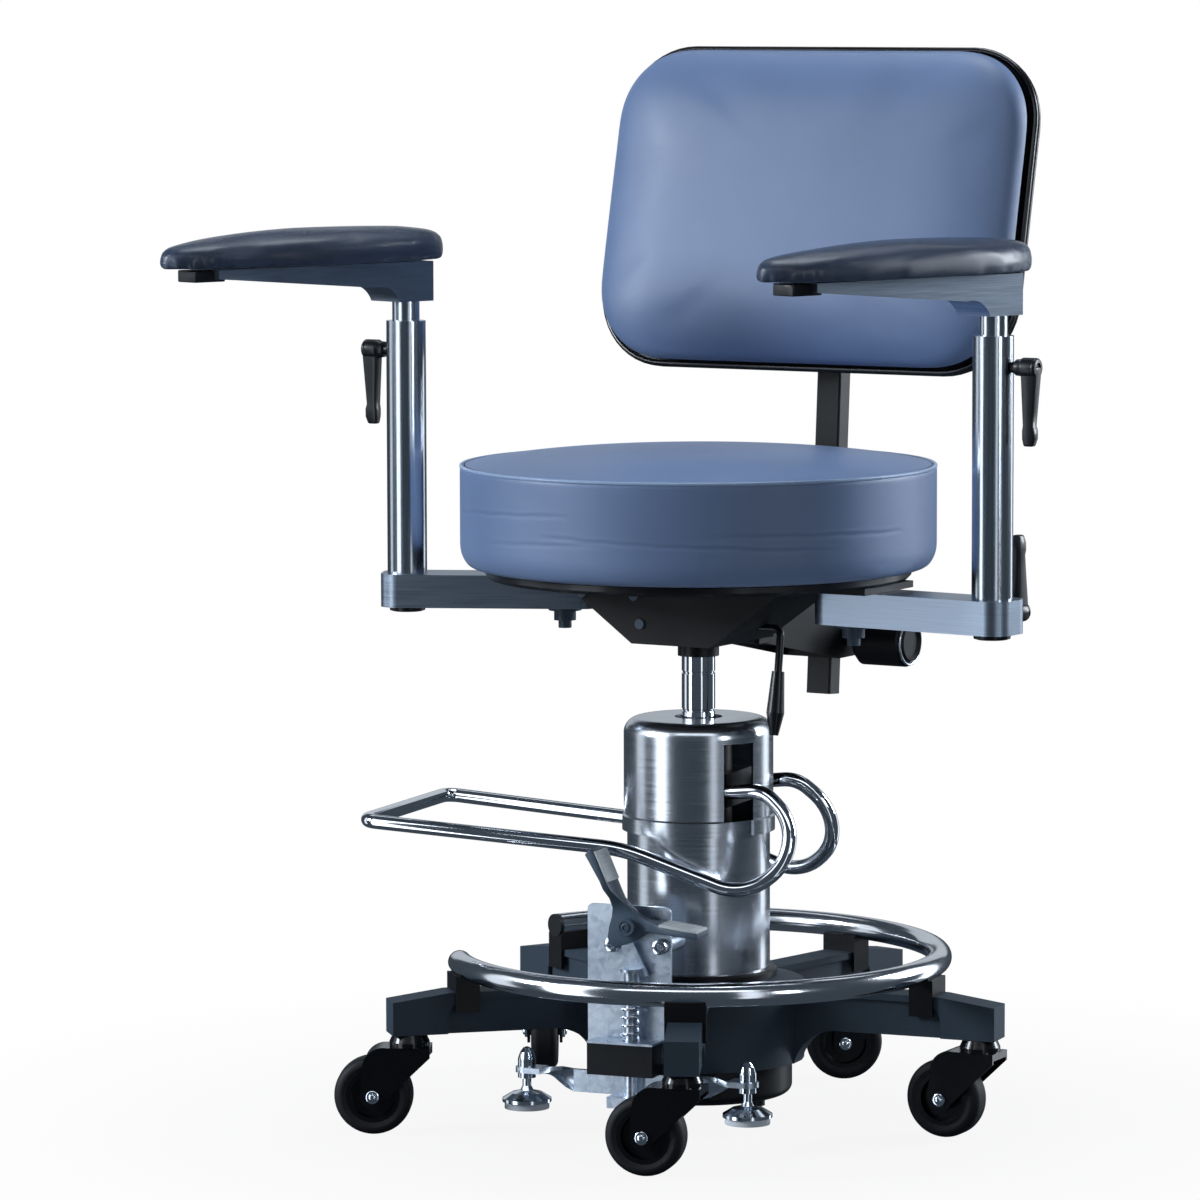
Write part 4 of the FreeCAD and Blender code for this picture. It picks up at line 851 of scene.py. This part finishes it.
def padPoint(along, across, height, side):
    # along runs from the post to the front, across to the sitter's left
    heading = math.radians(armPad["heading"])
    ahead = Vector((math.cos(heading), math.sin(heading), 0))
    over = Vector((-ahead.y, ahead.x, 0))
    post = armPad["posts"][side]
    return Vector((*post, height)) + ahead * along + over * across


def padOutline(share):
    # half width at a share of the length from the back end
    end = min(share, 1 - share) * 2
    return (1 - (1 - end) ** 2.6) ** 0.5 * (1 - 0.10 * max(0, share - 0.35) / 0.65)


def makeArmPad(side):
    spec = armPad
    inboard = -1 if side == "left" else 1
    startClean()
    bpy.ops.mesh.primitive_circle_add(vertices=96, radius=0.5, fill_type="NGON")
    thing = bpy.context.object
    for vertex in thing.data.vertices:
        angle = math.atan2(vertex.co.y, vertex.co.x)
        share = 0.5 + 0.5 * math.cos(angle)
        half = padOutline(share) * spec["wide"] / 2
        across = half if math.sin(angle) > 0 else -half
        dip = math.exp(-(((1 - share) - spec["waistAt"]) / 0.14) ** 2) * spec["waist"]
        if across * inboard > 0:
            across -= inboard * dip
        vertex.co = Vector((share * spec["long"] - spec["back"] + 0.004, across, 0))
    editWhole()
    extrude(0, 0, spec["thick"])
    bpy.ops.mesh.bevel(offset=spec["soft"], segments=5)
    bpy.ops.object.mode_set(mode="OBJECT")
    swell(thing, spec["voxel"], spec["pressure"], spec["swell"], lambda co: co.z < 0.002)
    front = spec["long"] - spec["back"]
    for vertex in thing.data.vertices:
        x, y, z = vertex.co
        lift = z / spec["thick"]
        near = unit((x - front + 0.06) / 0.05) + unit((-0.02 - x) / 0.03)
        if near > 0 and lift < 0.55:
            turn = math.atan2(y, x - front + 0.05) if x > 0 else math.atan2(y, -x)
            pleat = math.cos(turn * spec["tucks"]) * 0.0011 * near * (1 - lift / 0.55)
            vertex.co.x += math.copysign(math.cos(turn), x) * pleat
            vertex.co.y += math.sin(turn) * pleat
        vertex.co.z -= 0.006 * max(0, (x - 0.10) / 0.16) ** 2 * max(0, lift)
    post = Matrix.Translation((*spec["posts"][side], spec["bottom"]))
    place = post @ spin(spec["heading"], "Z")
    thing.data.transform(place)
    # the pads wear the darker vinyl, whose colour also carries painted shade
    finishPiece(
        thing, side + "ArmPad", "darkVinylPaintedShade", side + "_rest", [side + "_arm_pad"]
    )


for side in ("left", "right"):
    makeArmPad(side)
print("arm pads made")

# Clamp levers

clampLever = {
    "hub": 0.0088,
    "handle": 0.068,
    "reach": 0.026,
    "wide": 0.015,
    "thick": 0.0115,
    "swing": {"left": -4.9, "right": 205.4},
    "upper": (0.018, 0.687),
    "lower": (0.025, 0.4697),
    # share of the handle's length, then of its height and thickness
    "stations": (
        (0.10, 1.0, 1.0), (0.55, 0.76, 0.86), (0.74, 0.66, 0.82),
        (0.80, 0.80, 0.84), (0.90, 0.80, 0.80), (1.0, 0.60, 0.62),
    ),
}


def levelBox(name, low, high, bevel, segments=3):
    startClean()
    middle = [(a + b) / 2 for a, b in zip(low, high)]
    bpy.ops.mesh.primitive_cube_add(size=1, location=middle)
    thing = bpy.context.object
    thing.name = name
    thing.scale = [b - a for a, b in zip(low, high)]
    settle(thing)
    if bevel:
        modify(thing, "BEVEL", width=bevel, segments=segments, limit_method="ANGLE")
    return thing


def latheShape(name, profile, steps=40):
    # profile: (radius, height) pairs from the bottom up, closed at the axis
    startClean()
    radius, foot = profile[0]
    bpy.ops.mesh.primitive_circle_add(
        vertices=steps, radius=radius, location=(0, 0, foot), fill_type="NGON"
    )
    thing = bpy.context.object
    thing.name = name
    settle(thing)
    editWhole()
    for (before, low), (radius, high) in zip(profile, profile[1:]):
        extrude(0, 0, high - low)
        ratio = radius / before
        narrow(ratio, high)
    faceOut()
    bpy.ops.object.mode_set(mode="OBJECT")
    return thing


def joinAll(things):
    startClean()
    for thing in things:
        thing.select_set(True)
    bpy.context.view_layer.objects.active = things[0]
    bpy.ops.object.join()
    return bpy.context.object


def modelClampLever():
    spec = clampLever
    hub, reach, wide = spec["hub"], spec["reach"], spec["wide"]
    foot = reach - wide
    hubProfile = [
        (hub * 0.55, 0.0006), (hub * 0.55, foot - 0.0065), (hub * 0.80, foot - 0.006),
        (hub * 0.86, foot - 0.001), (hub * 0.97, foot), (hub, foot + 0.001),
        (hub, reach - 0.0045), (hub * 0.97, reach - 0.0042), (hub * 0.97, reach - 0.0036),
        (hub, reach - 0.0032), (hub * 0.99, reach - 0.0014), (hub * 0.88, reach - 0.0002),
        (hub * 0.55, reach), (hub * 0.52, reach - 0.0016), (0.0001, reach - 0.0016),
    ]
    barrel = latheShape("clampHub", hubProfile, 48)
    startClean()
    middle = reach - wide / 2
    bpy.ops.mesh.primitive_cube_add(size=1, location=(0, 0, middle))
    handle = bpy.context.object
    handle.scale = (0.002, spec["thick"], wide)
    settle(handle)
    bpy.ops.object.mode_set(mode="EDIT")
    pick("FACE", lambda f: f.normal.x > 0.9)
    at = 0.001
    for share, tall, thick in spec["stations"]:
        step = spec["handle"] * share - at
        extrude(step, 0, 0)
        at += step
        mesh = bmesh.from_edit_mesh(handle.data)
        for vertex in [v for v in mesh.verts if v.select]:
            vertex.co.y = math.copysign(spec["thick"] / 2 * thick, vertex.co.y)
            edge = math.copysign(wide / 2 * tall, vertex.co.z - middle)
            vertex.co.z = middle + edge - (1 - tall) * wide * 0.18
        bmesh.update_edit_mesh(handle.data)
    bpy.ops.object.mode_set(mode="OBJECT")
    angle = math.radians(25)
    modify(handle, "BEVEL", width=0.0016, segments=3, limit_method="ANGLE", angle_limit=angle)
    whole = joinAll([barrel, handle])
    whole.name = "clampModel"
    return whole


def placeClamps():
    model = modelClampLever()
    for side, sign in (("left", 1), ("right", -1)):
        post = Vector((*armPad["posts"][side], 0))
        swing = math.radians(clampLever["swing"][side])
        rear = Vector((-math.sin(swing), math.cos(swing), 0)) * sign
        away, height = clampLever["upper"]
        upper = post + Vector((sign * away, 0, height))
        away, height = clampLever["lower"]
        lower = post + rear * away + Vector((0, 0, height))
        for where, out, along, start in (
            ("upper", Vector((sign, 0, 0)), Vector((0, 0, -1)), upper),
            ("lower", rear, Vector((0, 0, 1)), lower),
        ):
            copy = bpy.data.objects.new("clamp", model.data.copy())
            bpy.context.scene.collection.objects.link(copy)
            across = out.cross(along)
            turn = Matrix((along, across, out)).transposed().to_4x4()
            copy.data.transform(Matrix.Translation(start) @ turn)
            body = "%s_%s_clamp" % (side, where)
            name = "%sClampLever_%s" % (side, where)
            old = "%s_arm_%s_clamp" % (side, where)
            finishPiece(copy, name, "blackPlastic", body, [old])
    bpy.data.objects.remove(model)


placeClamps()
print("clamp levers made")

# Treads of the floor lock's rocker and the ring on the knob

rocker = {
    "place": (-0.021, 0, 0.191),
    "middle": -0.1125,
    "heading": 9,
    # x and z in millimetres from the pin, round the curved web
    "outline": [
        (-35.5, 64), (-31, 69), (-27.5, 67.5), (-15, 39.5), (-11, 31.5), (-6.5, 24.5),
        (0.5, 17), (8, 11.5), (16.7, 7.2), (25, 5), (33, 4), (70, -0.6), (70, -6),
        (33, -3.6), (22, -3.4), (15.5, -5.2), (11, -9.6), (5, -13.2), (0, -15.2),
        (-5, -17), (-9, -18.6), (-14, -18.4), (-18, -15.2), (-19.4, -10), (-18.2, -1),
        (-15.6, 8), (-14.6, 16), (-15.2, 25.4), (-18.6, 34), (-21.7, 41),
    ],
    "treads": [((-27.5, 67.5), (-15, 39.5)), ((33, 4), (70, -0.6))],
    "thick": 0.0018,
    "front": (-0.0066, -0.0205),
    "back": (0.0044, 0.0088),
    "flare": (0.019, 0.040),
}


def rockerDepth(x, z, ends):
    low, high = rocker["flare"]
    share = unit((math.hypot(x, z) - low) / (high - low))
    return ends[0] + (ends[1] - ends[0]) * share * share * (3 - 2 * share)


def makeRocker():
    spec = rocker
    startClean()
    bpy.ops.mesh.primitive_circle_add(vertices=len(spec["outline"]), radius=0.01, fill_type="NGON")
    web = bpy.context.object
    for vertex, (x, z) in zip(web.data.vertices, spec["outline"]):
        vertex.co = (x / 1000, 0, z / 1000)
    editWhole()
    extrude(0, 0.001, 0)
    bpy.ops.object.mode_set(mode="OBJECT")
    for vertex in web.data.vertices:
        ends = spec["back"] if vertex.co.y > 0.0005 else spec["front"]
        vertex.co.y = rockerDepth(vertex.co.x, vertex.co.z, ends)
    editWhole()
    bpy.ops.mesh.normals_make_consistent(inside=False)
    pick("FACE", lambda f: len(f.verts) > 8)
    bpy.ops.mesh.quads_convert_to_tris()
    bpy.ops.object.mode_set(mode="OBJECT")
    angle = math.radians(50)
    modify(web, "BEVEL", width=0.0009, segments=3, limit_method="ANGLE", angle_limit=angle)
    heading = spin(spec["heading"], "Z")
    spot = heading @ Matrix.Translation((spec["place"][0], spec["middle"], spec["place"][2]))
    web.data.transform(spot)
    finishPiece(web, "rockerWeb", "castGrey", "lock_rocker", ["lock_rocker"])
    for index, (start, end) in enumerate(spec["treads"]):
        start, end = Vector((start[0], 0, start[1])) / 1000, Vector((end[0], 0, end[1])) / 1000
        along = (end - start).normalized()
        up = Vector((-along.z, 0, along.x))
        up = up if up.z > 0 else -up
        long = (end - start).length
        low, high = spec["front"][1] + 0.0008, spec["back"][1] - 0.0008
        plateHigh = (long - 0.0006, high, spec["thick"])
        bars = [levelBox("tread", (0.0008, low, -0.0006), plateHigh, 0.0005, 2)]
        for step in range(8):
            at = long * (step + 0.35) / 8
            bars.append(levelBox("rib", (at, low + 0.0015, spec["thick"] - 0.0004),
                                 (at + 0.0019, high - 0.0015, spec["thick"] + 0.0005), 0.0003, 2))
        whole = joinAll(bars)
        turn = Matrix((along, up.cross(along), up)).transposed().to_4x4()
        whole.data.transform(spot @ Matrix.Translation(start) @ turn)
        finishPiece(whole, "rockerTread%d" % index, "paleTread", "lock_rocker")


lockSpring = {
    "place": (-0.021, -0.113),
    "radius": 0.0077,
    "wire": 0.0014,
    "low": 0.0894,
    "high": 0.1413,
    "turns": 7,
    "travel": 0.0195,
}


def makeLockSpring():
    # the coil stands on its shelf, at one fixed length
    spec = lockSpring
    heading = spin(rocker["heading"], "Z")
    foot = heading @ Vector((*spec["place"], 0))
    points = []
    steps = spec["turns"] * 28
    for step in range(steps + 1):
        angle = 2 * math.pi * spec["turns"] * step / steps
        turned = Vector((spec["radius"] * math.cos(angle), spec["radius"] * math.sin(angle), 0))
        height = spec["low"] + (spec["high"] - spec["low"]) * step / steps
        points.append(foot + turned + Vector((0, 0, height)))
    coil = tubeAlong("lockSpring", points, spec["wire"], "chrome", "base", closed=False)
    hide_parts("lock_spring")
    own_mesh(coil)


# radius and height of each turned piece, from its foot up
profiles = {
    "nut": [
        (0.0082, 0), (0.0082, 0.0012), (0.0076, 0.0018), (0.0056, 0.0018), (0.0052, 0.0012),
        (0.0042, 0.0012), (0.004, 0.0022), (0.0026, 0.0026), (0.0024, 0.0016), (0.0001, 0.0016),
    ],
    "head": [
        (0.0068, 0), (0.0070, 0.0026), (0.0064, 0.0040), (0.0046, 0.0046), (0.0032, 0.0046),
        (0.0030, 0.0022), (0.0001, 0.0022),
    ],
    "axle": [
        (0.0058, -0.0012), (0.0058, 0.0008), (0.0052, 0.0012), (0.0036, 0.0012),
        (0.0034, 0.0022), (0.0024, 0.0030), (0.0001, 0.0032),
    ],
}
screws = {
    "nutDepth": -0.1238,
    "heads": (-0.0415, 0.0035),
    "headDepth": -0.1042,
    "headHeight": 0.172,
}
axle = {"height": 0.035, "out": 0.0178}
knobRing = {"major": 0.0205, "minor": 0.0011, "inset": 0.0024}


def placeOn(thing, point, out):
    turn = out.to_track_quat("Z", "Y").to_matrix().to_4x4()
    thing.data.transform(Matrix.Translation(point) @ turn)
    return thing


def makeLockScrews():
    heading = spin(rocker["heading"], "Z")
    out = heading @ Vector((0, -1, 0))
    nut = latheShape("nut", profiles["nut"], 40)
    place = heading @ Vector((rocker["place"][0], screws["nutDepth"], rocker["place"][2]))
    finishPiece(placeOn(nut, place, out), "rockerNut", "castGrey", "base")
    for index, x in enumerate(screws["heads"]):
        head = latheShape("head", profiles["head"], 32)
        place = heading @ Vector((x, screws["headDepth"], screws["headHeight"]))
        finishPiece(placeOn(head, place, out), "plateScrew%d" % index, "brightZinc", "base")


def makeAxleCaps():
    for letter, centre, axis in (
        ("a", (-0.21634, -0.20311), (-0.469472, 0.882948)),
        ("b", (0.09, -0.24583), (-0.275637, 0.961262)),
        ("c", (0.2308, 0.03938), (-0.069756, 0.997564)),
        ("d", (-0.25301, 0.14847), (0.866025, 0.5)),
        ("e", (0.01508, 0.24483), (-0.559193, 0.829038)),
    ):
        ends = []
        for sign in (-1, 1):
            cap = latheShape("cap", profiles["axle"], 28)
            out = Vector((*axis, 0)) * sign
            middle = Vector((*centre, axle["height"]))
            ends.append(placeOn(cap, middle + out * axle["out"], out))
        fork = "caster_%s_fork" % letter
        finishPiece(joinAll(ends), "axleCaps_" + letter, "brightZinc", fork)


def makeKnobRing():
    low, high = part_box("back_knob")
    startClean()
    bpy.ops.mesh.primitive_torus_add(
        major_radius=knobRing["major"],
        minor_radius=knobRing["minor"],
        major_segments=64,
        minor_segments=10,
    )
    ring = bpy.context.object
    centre = Vector((high.x - knobRing["inset"], (low.y + high.y) / 2, (low.z + high.z) / 2))
    ring.data.transform(Matrix.Translation(centre) @ Matrix.Rotation(math.pi / 2, 4, "Y"))
    finishPiece(ring, "knobRing", "brightZinc", "back_knob")


makeRocker()
makeLockSpring()
makeLockScrews()
makeAxleCaps()
makeKnobRing()
print("rocker, screws and caps made")

# Caps under the arm posts and blocks at the bracket tips


def placeArmTrim():
    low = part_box("left_arm_bar")[0].z
    for side in ("left", "right"):
        post = Vector((*armPad["posts"][side], 0))
        profile = [
            (0.0135, low - 0.0050), (0.0160, low - 0.0042), (0.0165, low - 0.0012),
            (0.0150, low - 0.0004), (0.0150, low + 0.0002),
        ]
        cap = latheShape("cap", profile, 48)
        cap.data.transform(Matrix.Translation(post))
        finishPiece(cap, side + "PostCap", "blackPlastic", side + "_arm")
        tip = padPoint(*armPad["stopAt"], side)
        block = levelBox("tip", armPad["stopLow"], armPad["stopHigh"], 0.0012)
        heading = spin(armPad["heading"], "Z")
        block.data.transform(Matrix.Translation(tip) @ heading)
        finishPiece(block, side + "PadStop", "blackPlastic", side + "_rest")


placeArmTrim()
print("arm trim made")
